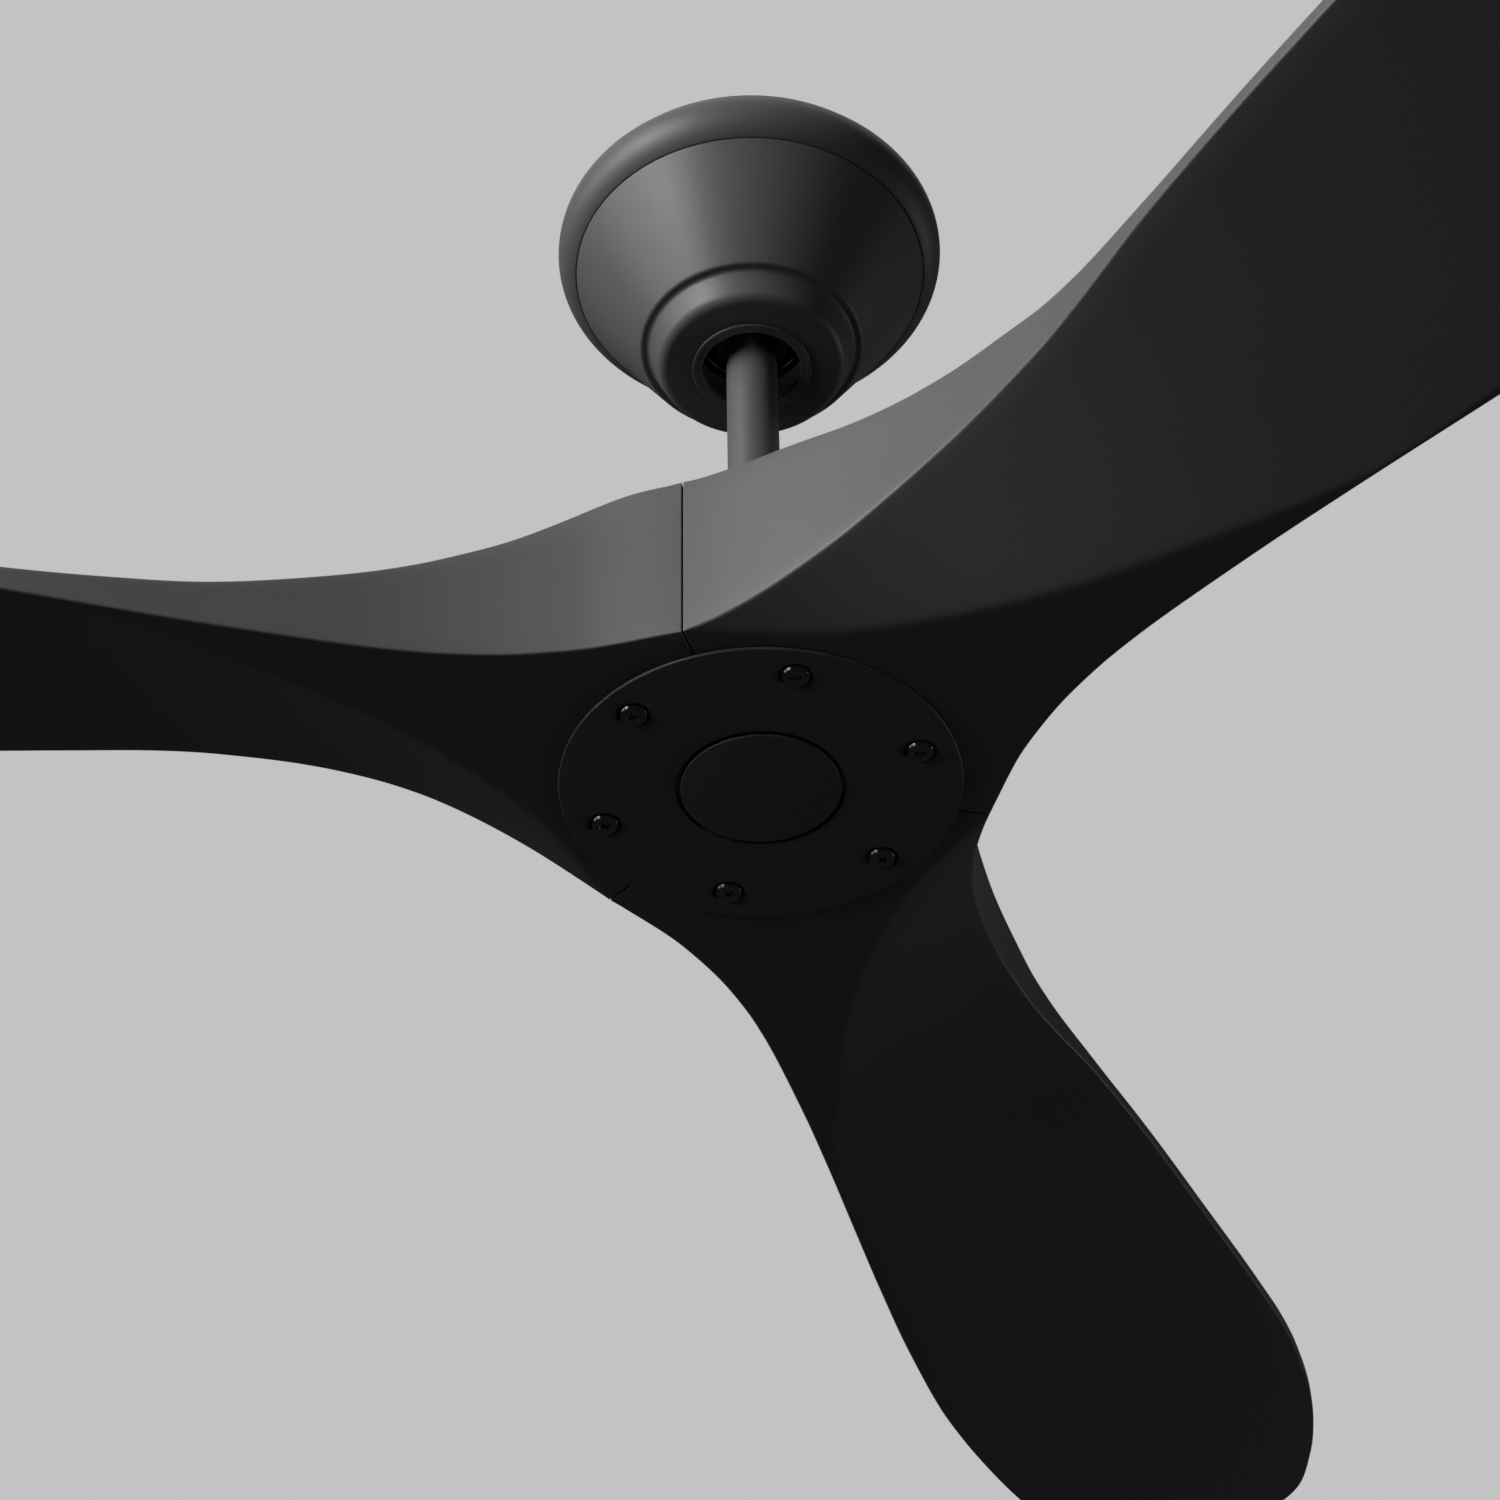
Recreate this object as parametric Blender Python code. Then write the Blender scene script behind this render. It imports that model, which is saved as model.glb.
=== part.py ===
"""Three-blade ceiling fan: hanger bracket, canopy, downrod, outer-rotor motor and one-piece blades.

Metres, +Z up. The origin is the centre of the hanger bracket's top face, where it meets the
ceiling. Pieces of the hub are modelled with their heights counted up from the underside of the
blade plate, pieces at the ceiling with their heights counted from the ceiling.
"""
import math

import bmesh
import bpy
import numpy as np
from mathutils import Matrix, Vector

# Gaps between pieces
FIT_GAP = 0.0003
OVERRUN = 0.002
WELD = 0.000001

# Main sizes
DROP = 0.3195
TIP_REACH = 0.657
HUB_RADIUS = 0.088
HUB_TOP = 0.078
BLADE_COUNT = 3
FIRST_BLADE_DEG = 72.44
SEAM_GAP = 0.0005

# Sides of round pieces
WIDE_SIDES = 40
MOTOR_SIDES = 36
ROUND_SIDES = 24
SMALL_SIDES = 12
TINY_SIDES = 10

# Blade plan, heights and wall
BLADE_LIFT = 0.0018
BLADE_THICKNESS = 0.0058
BLADE_START = 0.014
WAIST_X = 0.155
LEAD_WAIST = 0.0498
LEAD_BELLY_X = 0.514
LEAD_BELLY = 0.1029
TRAIL_WAIST = 0.0476
TRAIL_BELLY_X = 0.440
TRAIL_BELLY = 0.0612
TIP_LEAD_Y = 0.028
TIP_TRAIL_Y = -0.004
LEAD_RISE = 0.0329
ROOT_END_X = 0.260
LEAD_TOP_START_X = 0.076
LEAD_TOP_END_X = 0.300
TRAIL_TOP_START_X = 0.062
TRAIL_TOP_END_X = 0.420
CREASE_END_X = 0.258
CREASE_MARGIN = 0.0015

# Shares of the way along each stretch, then of the change across it
LEAD_NECK_SHARES = ((0.07, 0.84), (0.14, 0.7), (0.25, 0.51), (0.32, 0.41), (0.4, 0.31), (0.54, 0.165),
                    (0.685, 0.07), (0.865, 0.01))
LEAD_BELLY_SHARES = ((0.12, 0.06), (0.18, 0.13), (0.29, 0.30), (0.43, 0.48), (0.63, 0.69), (0.84, 0.90),
                     (0.94, 0.98))
LEAD_TIP_SHARES = ((0.133, 0.001), (0.266, 0.013), (0.392, 0.04), (0.517, 0.083), (0.643, 0.143),
                   (0.755, 0.219), (0.867, 0.326), (0.902, 0.393), (0.937, 0.514), (0.965, 0.66),
                   (0.986, 0.85))
TRAIL_NECK_SHARES = ((0.07, 0.87), (0.14, 0.73), (0.29, 0.46), (0.40, 0.32), (0.51, 0.20), (0.61, 0.12),
                     (0.83, 0.02))
TRAIL_BELLY_SHARES = ((0.16, 0.08), (0.32, 0.26), (0.49, 0.51), (0.66, 0.75), (0.85, 0.95))
TRAIL_TIP_SHARES = ((0.065, 0.003), (0.207, 0.034), (0.359, 0.092), (0.521, 0.178), (0.691, 0.31),
                    (0.829, 0.463), (0.922, 0.632), (0.972, 0.8))
LEAD_RISE_SHARES = ((0.02, 0.012), (0.04, 0.05), (0.075, 0.107), (0.13, 0.213), (0.2, 0.352), (0.28, 0.5),
                    (0.352, 0.625), (0.444, 0.737), (0.54, 0.815), (0.63, 0.87), (0.72, 0.91),
                    (0.81, 0.95), (0.91, 0.98))
LEAD_FALL_SHARES = ((0.018, 0.013), (0.054, 0.037), (0.089, 0.083), (0.125, 0.133), (0.196, 0.232),
                    (0.286, 0.352), (0.375, 0.461), (0.464, 0.565), (0.554, 0.7), (0.643, 0.813),
                    (0.732, 0.9), (0.821, 0.96), (0.911, 0.99))
TRAIL_FALL_SHARES = ((0.017, 0.03), (0.028, 0.048), (0.05, 0.102), (0.073, 0.159), (0.117, 0.266),
                     (0.162, 0.359), (0.218, 0.477), (0.274, 0.58), (0.33, 0.672), (0.385, 0.754),
                     (0.441, 0.817), (0.497, 0.859), (0.553, 0.898), (0.609, 0.93), (0.665, 0.955),
                     (0.75, 0.98))
CREASE_SHARES = ((0.06, 0.126), (0.136, 0.288), (0.196, 0.384), (0.262, 0.466), (0.332, 0.548),
                 (0.402, 0.618), (0.481, 0.689), (0.561, 0.747), (0.636, 0.798), (0.715, 0.845),
                 (0.794, 0.894), (0.874, 0.938), (0.953, 0.975))
STATION_SHARES = (0.0, 0.013, 0.029, 0.046, 0.065, 0.09, 0.12, 0.155, 0.19, 0.23, 0.275, 0.33, 0.40,
                  0.49, 0.585, 0.68, 0.766, 0.835, 0.885, 0.925, 0.955, 0.975, 0.99, 1.0)
BOTTOM_SHARES = (0.33, 0.67)

# Blade plate, its screws and the centre cap
PLATE_RADIUS = 0.075
PLATE_FLANGE = 0.0015
SPIGOT_RADIUS = 0.070
PLATE_THICKNESS = 0.0046
PLATE_BORE = 0.0312
LEDGE_BORE = 0.027
LEDGE_HEIGHT = 0.0032
BOLT_CIRCLE = 0.0615
BOLT_SPREAD_DEG = 30.0
RECESS_RADIUS = 0.0062
RECESS_DEPTH = 0.0019
PLATE_EDGE_ROUND = 0.0004
CAP_RADIUS = 0.030
CAP_PROUD = 0.0005
CAP_DOME = 0.0012
CAP_THICKNESS = 0.0029
CAP_SKIRT_WALL = 0.002
CAP_SKIRT_HEIGHT = 0.0034
BLADE_SCREW_RADIUS = 0.0025
BLADE_SCREW_HEAD = 0.0055
BLADE_SCREW_HEAD_HEIGHT = 0.0024
BLADE_SCREW_REACH = 0.0050
CROSS_WIDTH = 0.0011
CROSS_LENGTH = 0.0052
CROSS_DEPTH = 0.0011
DOME_SHARE = 0.55
DOME_WAIST_SHARE = 0.72
PAN_SHARE = 0.8

# Cavity in the blade roots
CAVITY_RADIUS = 0.076
FLOOR_TOP = 0.0085
FLOOR_BORE = 0.033
CORE_LENGTH = 0.060
CORE_WIDTH = 0.060
CORE_BOTTOM = 0.021
CORE_TOP = 0.042

# Rotor housing
ROTOR_RADIUS = 0.073
ROTOR_WALL_OUT = 0.070
ROTOR_WALL_IN = 0.0663
ROTOR_FLANGE_BOTTOM = 0.0385
ROTOR_SPLIT = 0.0437
BASE_FLOOR_TOP = 0.0150
MAGNET_LEDGE = 0.0217
LID_THICKNESS = 0.0035
LID_RING_OUT = 0.0675
LID_RING_IN = 0.0625
ROTOR_SCREW_CIRCLE = 0.0692
ROTOR_SCREW_RADIUS = 0.0012
ROTOR_SCREW_HEAD = 0.0024
ROTOR_SCREW_HEAD_HEIGHT = 0.0013
ROTOR_SCREW_LENGTH = 0.0070
MAGNET_IN = 0.0616
MAGNET_TOP = 0.040

# Bearings and shaft
BEARING_BORE = 0.0078
BEARING_OUT = 0.0172
BEARING_WIDTH = 0.0090
RACE_IN = 0.0122
LOWER_BEARING = 0.0116
UPPER_BEARING = 0.0446
SEAT_WALL = 0.0035
LIP_BORE = 0.0100
LIP_THICKNESS = 0.0021
SHAFT_RADIUS = 0.0075
SHAFT_BORE = 0.0040
SHAFT_BOTTOM = 0.0080
SHAFT_TOP = 0.074
SHOULDER_RADIUS = 0.0095
GROOVE_RADIUS = 0.0066
CIRCLIP_OUT = 0.0092
CIRCLIP_THICKNESS = 0.0011
CIRCLIP_OPENING = 0.0050
SLOT_WIDTH = 0.0050
SLOT_LENGTH = 0.0045
SLOT_SILL = 0.0008

# Stator
COIL_COUNT = 9
STATOR_BOTTOM = 0.023
STATOR_TOP = 0.038
STATOR_HUB = 0.028
STATOR_RADIUS = 0.0604
TOOTH_WIDTH = 0.0110
TOOTH_HEAD_DEPTH = 0.0070
TOOTH_HEAD_OPENING = 0.0050
TOOTH_FACE_SHARE = 0.4
COIL_START = 0.0320
COIL_END = 0.0500
COIL_BUILD = 0.0033

# Coupling on the motor shaft, its pin, screws and cover
COUPLING_BOTTOM = 0.0575
NOSE_RADIUS = 0.0090
COLLAR_RADIUS = 0.017
COLLAR_TOP = 0.072
SOCKET_RADIUS = 0.0155
SOCKET_START = 0.075
SOCKET_FLOOR = 0.0792
SOCKET_TOP = 0.114
CLEVIS_HEIGHT = 0.100
CLEVIS_RADIUS = 0.0029
CLEVIS_LENGTH = 0.0350
CLEVIS_HEAD = 0.0045
CLEVIS_HEAD_THICKNESS = 0.0018
CLIP_WIRE = 0.0007
CLIP_RADIUS = 0.0024
CLIP_BENDS = 6
GRUB_HEIGHT = 0.088
GRUB_RADIUS = 0.0023
GRUB_LENGTH = 0.0060
COVER_RADIUS = 0.034
COVER_BOTTOM = 0.082
COVER_SHOULDER = 0.100
COVER_NECK_START = 0.1185
COVER_TOP = 0.124
COVER_NECK = 0.014
COVER_WALL = 0.0015
COVER_CURVE_SHARES = ((0.12, 0.45), (0.5, 0.84))
COVER_INSIDE_SHARES = ((0.5, 0.16), (0.88, 0.55))

# Motor top cover
TOP_COVER_RADIUS = 0.084
TOP_COVER_WALL = 0.0012
TOP_COVER_BORE = 0.022
TOP_COVER_EASE = 0.0006
COVER_SCREW_RADIUS = 0.0012
COVER_SCREW_HEAD = 0.0025
COVER_SCREW_HEAD_HEIGHT = 0.0012
COVER_SCREW_LENGTH = 0.0080

# Downrod and the lead inside it
ROD_RADIUS = 0.01065
ROD_BORE = 0.0082
ROD_TOP = -0.0285
LEAD_RADIUS = 0.0021
LEAD_PAST_ROD = 0.0020
LEAD_BENDS = 5

# Hanger ball
BALL_Z = -0.052
BALL_RADIUS = 0.025
BALL_TOP = 0.016
BALL_BOTTOM = 0.020
BALL_RINGS = 8
PIN_HEIGHT = 0.0130
PIN_RADIUS = 0.0029
PIN_HALF = 0.0165
KEYWAY_WIDTH = 0.0050
KEYWAY_RADIUS = 0.0222
KEY_WIDTH = 0.0040
KEY_RADIUS = 0.0226
KEY_TOP = 0.0035
KEY_BOTTOM = 0.0090
BALL_GRUB_DROP = 0.0080
BALL_GRUB_RADIUS = 0.0020
BALL_GRUB_LENGTH = 0.0060

# Hanger bracket
BRACKET_THICKNESS = 0.0025
BRACKET_HALF = 0.050
BRACKET_WIDTH = 0.044
EAR_CLEARANCE = 0.0009
TONGUE_WIDTH = 0.014
EAR_BOTTOM = 0.019
LEG_X = 0.0365
LEG_WIDTH = 0.030
STRAP_BOTTOM = 0.0640
BOWL_WALL = 0.0032
BOWL_TOP = 0.0040
BOWL_BOTTOM = 0.0150
BOWL_RINGS = 4
BOWL_SLOT = 0.0240
BOX_SCREW_X = 0.0445
BOX_SLOT_WIDTH = 0.0052
BOX_SLOT_LENGTH = 0.0086
BOX_SCREW_RADIUS = 0.0021
BOX_SCREW_HEAD = 0.0042
BOX_SCREW_HEAD_HEIGHT = 0.0022
BOX_SCREW_LENGTH = 0.0110
WIRE_NOTCH_RADIUS = 0.0050

# Receiver
RECEIVER_LENGTH = 0.070
RECEIVER_WIDTH = 0.030
RECEIVER_HEIGHT = 0.0160
RECEIVER_WALL = 0.0015
RECEIVER_LID = 0.0020
BOARD_THICKNESS = 0.0016

# Canopy, its grommet, trim ring and screws
CANOPY_BOTTOM = 0.0847
CANOPY_WALL = 0.0012
CANOPY_TOP = 0.0004
SKIRT_RADIUS = 0.0746
SEAM_DROP = 0.0263
CONE_RADIUS = 0.0467
CONE_RISE = 0.0122
BEAD_RADIUS = 0.0431
BEAD_ROUND = 0.0050
BEAD_LEAN_DEG = 21.0
BEAD_STEPS = 4
GROMMET_OUT = 0.0249
GROMMET_BORE = 0.0205
GROMMET_PROUD = 0.0010
GROMMET_NECK = 0.0225
GROMMET_CLIP = 0.0238
GROMMET_CLIP_HEIGHT = 0.0012
RING_ROUND = 0.0146
RING_WALL = 0.0013
RING_SPAN_SHARE = 0.884
RING_END_DEG = 50.0
RING_TOP = 0.0005
RING_STEPS = 6
CANOPY_SCREW_Z = 0.0125
CANOPY_SCREW_RADIUS = 0.0020
CANOPY_SCREW_HEAD = 0.0038
CANOPY_SCREW_HEAD_HEIGHT = 0.0011
CANOPY_SCREW_LENGTH = 0.0060
CANOPY_SLOT_WIDTH = 0.0052

PLATE_Z = -DROP
TONGUE_HALF = SKIRT_RADIUS - CANOPY_WALL - EAR_CLEARANCE


def clear_scene():
    """Remove every object, so that the script gives the same fan each time it is run."""
    for item in list(bpy.data.objects):
        bpy.data.objects.remove(item, do_unlink=True)


def paint(name, colour, roughness, metallic):
    """Make one plain surface finish."""
    finish = bpy.data.materials.new(name)
    finish.use_nodes = True
    shader = finish.node_tree.nodes["Principled BSDF"]
    shader.inputs["Base Color"].default_value = (*colour, 1.0)
    shader.inputs["Roughness"].default_value = roughness
    shader.inputs["Metallic"].default_value = metallic
    finish.diffuse_color = (*colour, 1.0)
    return finish


def keep(bm, name, finish):
    """Turn a finished bmesh into a named object with smooth round faces and sharp edges."""
    bmesh.ops.remove_doubles(bm, verts=bm.verts, dist=WELD)
    bmesh.ops.recalc_face_normals(bm, faces=bm.faces)
    mesh = bpy.data.meshes.new(name)
    bm.to_mesh(mesh)
    bm.free()
    mesh.shade_smooth()
    mesh.set_sharp_from_angle(angle=math.radians(35.0))
    item = bpy.data.objects.new(name, mesh)
    bpy.context.scene.collection.objects.link(item)
    if finish is not None:
        mesh.materials.append(finish)
    return item


def turned(name, profile, finish, sides=ROUND_SIDES):
    """Turn a closed outline of (radius, height) points about the upright axis."""
    bm = bmesh.new()
    points = [bm.verts.new((radius, 0.0, height)) for radius, height in profile]
    edges = []
    for start, end in zip(points, points[1:] + points[:1]):
        if start.co.x > 0.0 or end.co.x > 0.0:
            edges.append(bm.edges.new((start, end)))
    bmesh.ops.spin(bm, geom=points + edges, cent=(0.0, 0.0, 0.0), axis=(0.0, 0.0, 1.0),
                   angle=2.0 * math.pi, steps=sides, use_merge=True)
    return keep(bm, name, finish)


def prism(name, outline, bottom, top, finish):
    """Raise a flat outline of (x, y) points from one height to another."""
    bm = bmesh.new()
    face = bm.faces.new([bm.verts.new((x, y, bottom)) for x, y in outline])
    rise = bmesh.ops.extrude_face_region(bm, geom=[face])
    moved = [item for item in rise["geom"] if isinstance(item, bmesh.types.BMVert)]
    bmesh.ops.translate(bm, verts=moved, vec=(0.0, 0.0, top - bottom))
    return keep(bm, name, finish)


def block(name, low, high, finish):
    """Make a box between two corners."""
    outline = ((low[0], low[1]), (high[0], low[1]), (high[0], high[1]), (low[0], high[1]))
    return prism(name, outline, low[2], high[2], finish)


def cylinder(name, radius, bottom, top, finish=None, sides=TINY_SIDES):
    """Make an upright round bar, turned by half a side so that no corner lies on an axis plane."""
    item = turned(name, ((0.0, bottom), (radius, bottom), (radius, top), (0.0, top)), finish, sides)
    item.data.transform(Matrix.Rotation(math.pi / sides, 4, "Z"))
    return item


def lay(item, along, place=(0.0, 0.0, 0.0)):
    """Turn a piece so that its own +Z runs along a direction, and move its origin."""
    turn = Vector((0.0, 0.0, 1.0)).rotation_difference(Vector(along))
    item.matrix_world = Matrix.Translation(place) @ turn.to_matrix().to_4x4()
    return item


def as_tool(item):
    """Mark a piece as a cutter: it is not part of the fan."""
    item.hide_render = True
    item.display_type = "WIRE"
    return item


def combine(item, tool, operation):
    """Cut a tool out of a piece, or add it to the piece, with an exact Boolean."""
    step = item.modifiers.new(operation.lower() + "_" + tool.name, "BOOLEAN")
    step.operation = operation
    step.object = as_tool(tool)
    step.solver = "EXACT"
    return item


def cut(item, *tools):
    """Cut each tool out of a piece."""
    for tool in tools:
        combine(item, tool, "DIFFERENCE")
    return item


def add(item, *tools):
    """Join each tool to a piece."""
    for tool in tools:
        combine(item, tool, "UNION")
    return item


def hang(parent, *items):
    """Parent pieces to an empty without moving them."""
    for item in items:
        item.parent = parent
        item.matrix_parent_inverse = parent.matrix_world.inverted()


def pivot(name, place):
    """Place an empty on a joint's axis."""
    item = bpy.data.objects.new(name, None)
    item.location = place
    bpy.context.scene.collection.objects.link(item)
    bpy.context.view_layer.update()
    return item


def on_hub(item):
    """Move a piece whose heights start at the blade plate's underside to its place."""
    item.matrix_world = Matrix.Translation((0.0, 0.0, PLATE_Z)) @ item.matrix_world
    return item


def round_point(radius, degrees, height=0.0):
    """Give the point at a radius and angle about the fan's axis."""
    angle = math.radians(degrees)
    return Vector((radius * math.cos(angle), radius * math.sin(angle), height))


def arc_points(centre, radius, start_deg, end_deg, steps):
    """List points on an arc in the (radius, height) plane, both ends included."""
    angles = np.radians(np.linspace(start_deg, end_deg, steps + 1))
    return [(centre[0] + radius * math.cos(a), centre[1] + radius * math.sin(a)) for a in angles]


def through(start, end, shares):
    """List the points from one end of a stretch to the other that the shares describe."""
    width = end[0] - start[0]
    change = end[1] - start[1]
    middle = [(start[0] + along * width, start[1] + across * change) for along, across in shares]
    return [start] + middle + [end]


def curve_at(points, x):
    """Read a smooth curve through points at x. It never swings past the points it joins."""
    xs = np.array([point[0] for point in points])
    ys = np.array([point[1] for point in points])
    if x <= xs[0]:
        return float(ys[0])
    if x >= xs[-1]:
        return float(ys[-1])
    chords = np.diff(ys) / np.diff(xs)
    slopes = np.zeros(len(xs))
    slopes[0], slopes[-1] = chords[0], chords[-1]
    for k in range(1, len(xs) - 1):
        if chords[k - 1] * chords[k] > 0.0:
            slopes[k] = 2.0 * chords[k - 1] * chords[k] / (chords[k - 1] + chords[k])
    k = int(np.searchsorted(xs, x)) - 1
    width = xs[k + 1] - xs[k]
    t = (x - xs[k]) / width
    ends = ys[k] * (1.0 + 2.0 * t) * (1.0 - t) ** 2 + ys[k + 1] * (3.0 - 2.0 * t) * t ** 2
    leans = slopes[k] * t * (1.0 - t) ** 2 - slopes[k + 1] * (1.0 - t) * t ** 2
    return float(ends + leans * width)


def seam_corner():
    """Give x and half width of the blade root at its outer seam corners, in the blade's frame."""
    x = HUB_RADIUS * math.cos(math.pi / BLADE_COUNT)
    return x, seam_half(x)


def seam_half(x):
    """Give the half width at x of the wedge that each blade fills at the hub."""
    back = SEAM_GAP / (2.0 * math.sin(math.pi / BLADE_COUNT))
    return (x - back) * math.tan(math.pi / BLADE_COUNT)


def blade_plan():
    """Give the points of the leading and trailing edges, as distances from the blade's axis."""
    corner = seam_corner()
    lead_waist, lead_belly = (WAIST_X, LEAD_WAIST), (LEAD_BELLY_X, LEAD_BELLY)
    trail_waist, trail_belly = (WAIST_X, TRAIL_WAIST), (TRAIL_BELLY_X, TRAIL_BELLY)
    lead = through_neck(corner, lead_waist, LEAD_NECK_SHARES)
    lead += through(lead_waist, lead_belly, LEAD_BELLY_SHARES)
    lead += through(lead_belly, (TIP_REACH, TIP_LEAD_Y), LEAD_TIP_SHARES)[1:]
    trail = through_neck(corner, trail_waist, TRAIL_NECK_SHARES)
    trail += through(trail_waist, trail_belly, TRAIL_BELLY_SHARES)
    trail += through(trail_belly, (TIP_REACH, TIP_TRAIL_Y), TRAIL_TIP_SHARES)[1:]
    return lead, trail


def through_neck(corner, waist, shares):
    """List the neck's points up to the waist: each second share is the width still to lose."""
    turned_shares = [(along, 1.0 - left) for along, left in shares]
    return through(corner, waist, turned_shares)[:-1]


def blade_heights():
    """Give the points of three long edges' heights and of the crease on the underside."""
    corner_x, corner_y = seam_corner()
    high = BLADE_LIFT + LEAD_RISE
    lead_low = through((corner_x, BLADE_LIFT), (ROOT_END_X, high), LEAD_RISE_SHARES)
    lead_top = through((LEAD_TOP_START_X, HUB_TOP), (LEAD_TOP_END_X, high + BLADE_THICKNESS),
                       LEAD_FALL_SHARES)
    trail_top = through((TRAIL_TOP_START_X, HUB_TOP), (TRAIL_TOP_END_X, BLADE_LIFT + BLADE_THICKNESS),
                        TRAIL_FALL_SHARES)
    trail_edge = curve_at(blade_plan()[1], CREASE_END_X)
    crease = through((corner_x, -corner_y), (CREASE_END_X, trail_edge), CREASE_SHARES)
    return lead_low, lead_top, trail_top, crease


def blade_section(x, plan, heights):
    """Give the blade's outline at x as (y, z) points, in order round the section."""
    corner_x, _ = seam_corner()
    lead_low, lead_top, trail_top, crease = heights
    if x <= corner_x:
        lead, trail = -seam_half(x), seam_half(x)
    else:
        lead, trail = -curve_at(plan[0], x), curve_at(plan[1], x)
    pitch = LEAD_RISE / (LEAD_BELLY + TRAIL_BELLY)
    low_lead, low_trail = curve_at(lead_low, x), BLADE_LIFT
    if x > LEAD_BELLY_X:
        low_lead -= pitch * (LEAD_BELLY + lead)
    if x > TRAIL_BELLY_X:
        low_trail += pitch * (TRAIL_BELLY - trail)
    top_lead = max(curve_at(lead_top, x), low_lead + BLADE_THICKNESS)
    top_trail = max(curve_at(trail_top, x), low_trail + BLADE_THICKNESS)
    if x > LEAD_TOP_END_X:
        top_lead = low_lead + BLADE_THICKNESS
    if x > TRAIL_TOP_END_X:
        top_trail = low_trail + BLADE_THICKNESS
    fold = min(curve_at(crease, x), trail - CREASE_MARGIN)
    if x <= corner_x:
        fold = lead + CREASE_MARGIN
    fold_height = low_trail
    if x > CREASE_END_X:
        share = (trail - fold) / (trail - lead)
        fold_height = low_trail + share * (low_lead - low_trail)
    points = [(trail, low_trail)]
    points += [(trail + share * (fold - trail), low_trail + share * (fold_height - low_trail))
               for share in BOTTOM_SHARES]
    points += [(fold, fold_height)]
    points += [(fold + share * (lead - fold), fold_height + share * (low_lead - fold_height))
               for share in BOTTOM_SHARES]
    points += [(lead, low_lead), (lead, top_lead)]
    points += [(lead + share * (trail - lead), top_lead + share * (top_trail - top_lead))
               for share in BOTTOM_SHARES]
    points += [(trail, top_trail)]
    return points


def blade_body(name, finish):
    """Loft one blade from its sections, along its own +X."""
    plan, heights = blade_plan(), blade_heights()
    corner_x, _ = seam_corner()
    stations = [BLADE_START] + [corner_x + share * (TIP_REACH - corner_x) for share in STATION_SHARES]
    bm = bmesh.new()
    rings = []
    for x in stations:
        rings.append([bm.verts.new((x, y, z)) for y, z in blade_section(x, plan, heights)])
    for near, far in zip(rings, rings[1:]):
        count = len(near)
        for k in range(count):
            bm.faces.new((near[k], near[(k + 1) % count], far[(k + 1) % count], far[k]))
    bm.faces.new(list(reversed(rings[0])))
    bm.faces.new(rings[-1])
    return keep(bm, name, finish)


def blade_tools(tag):
    """Make the cutters of one blade root: motor cavity, plate recess, core pocket and screw holes."""
    recess = SPIGOT_RADIUS + FIT_GAP
    seat = PLATE_THICKNESS + FIT_GAP
    top = HUB_TOP + OVERRUN
    bottom = -OVERRUN
    cavity = turned("cavity_tool_" + tag, ((0.0, bottom), (recess, bottom), (recess, seat),
                    (FLOOR_BORE, seat), (FLOOR_BORE, FLOOR_TOP), (CAVITY_RADIUS, FLOOR_TOP),
                    (CAVITY_RADIUS, top), (0.0, top)), None, WIDE_SIDES)
    pocket = block("pocket_tool_" + tag, (CAVITY_RADIUS - OVERRUN, -CORE_WIDTH / 2.0, CORE_BOTTOM),
                   (CAVITY_RADIUS + CORE_LENGTH, CORE_WIDTH / 2.0, CORE_TOP), None)
    tools = [cavity, pocket]
    for side in (-1.0, 1.0):
        hole = cylinder("screw_hole_tool_%s_%d" % (tag, side), BLADE_SCREW_RADIUS + FIT_GAP, bottom,
                        FLOOR_TOP + OVERRUN)
        hole.matrix_world = Matrix.Translation(round_point(BOLT_CIRCLE, side * BOLT_SPREAD_DEG))
        tools.append(hole)
    return tools


def make_blades(axis, finish):
    """Place the blades round the hub. Each has its own origin on the fan's axis."""
    for index in range(BLADE_COUNT):
        tag = str(index + 1)
        blade = blade_body("blade_" + tag, finish)
        turn = Matrix.Rotation(math.radians(FIRST_BLADE_DEG + 360.0 * index / BLADE_COUNT), 4, "Z")
        place = Matrix.Translation((0.0, 0.0, PLATE_Z)) @ turn
        tools = blade_tools(tag)
        for item in [blade] + tools:
            item.matrix_world = place @ item.matrix_world
        cut(blade, *tools)
        hang(axis, blade, *tools)


def bolt_angles():
    """Give the angle of each blade screw, two to a blade."""
    angles = []
    for index in range(BLADE_COUNT):
        middle = FIRST_BLADE_DEG + 360.0 * index / BLADE_COUNT
        angles += [middle - BOLT_SPREAD_DEG, middle + BOLT_SPREAD_DEG]
    return angles


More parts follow.
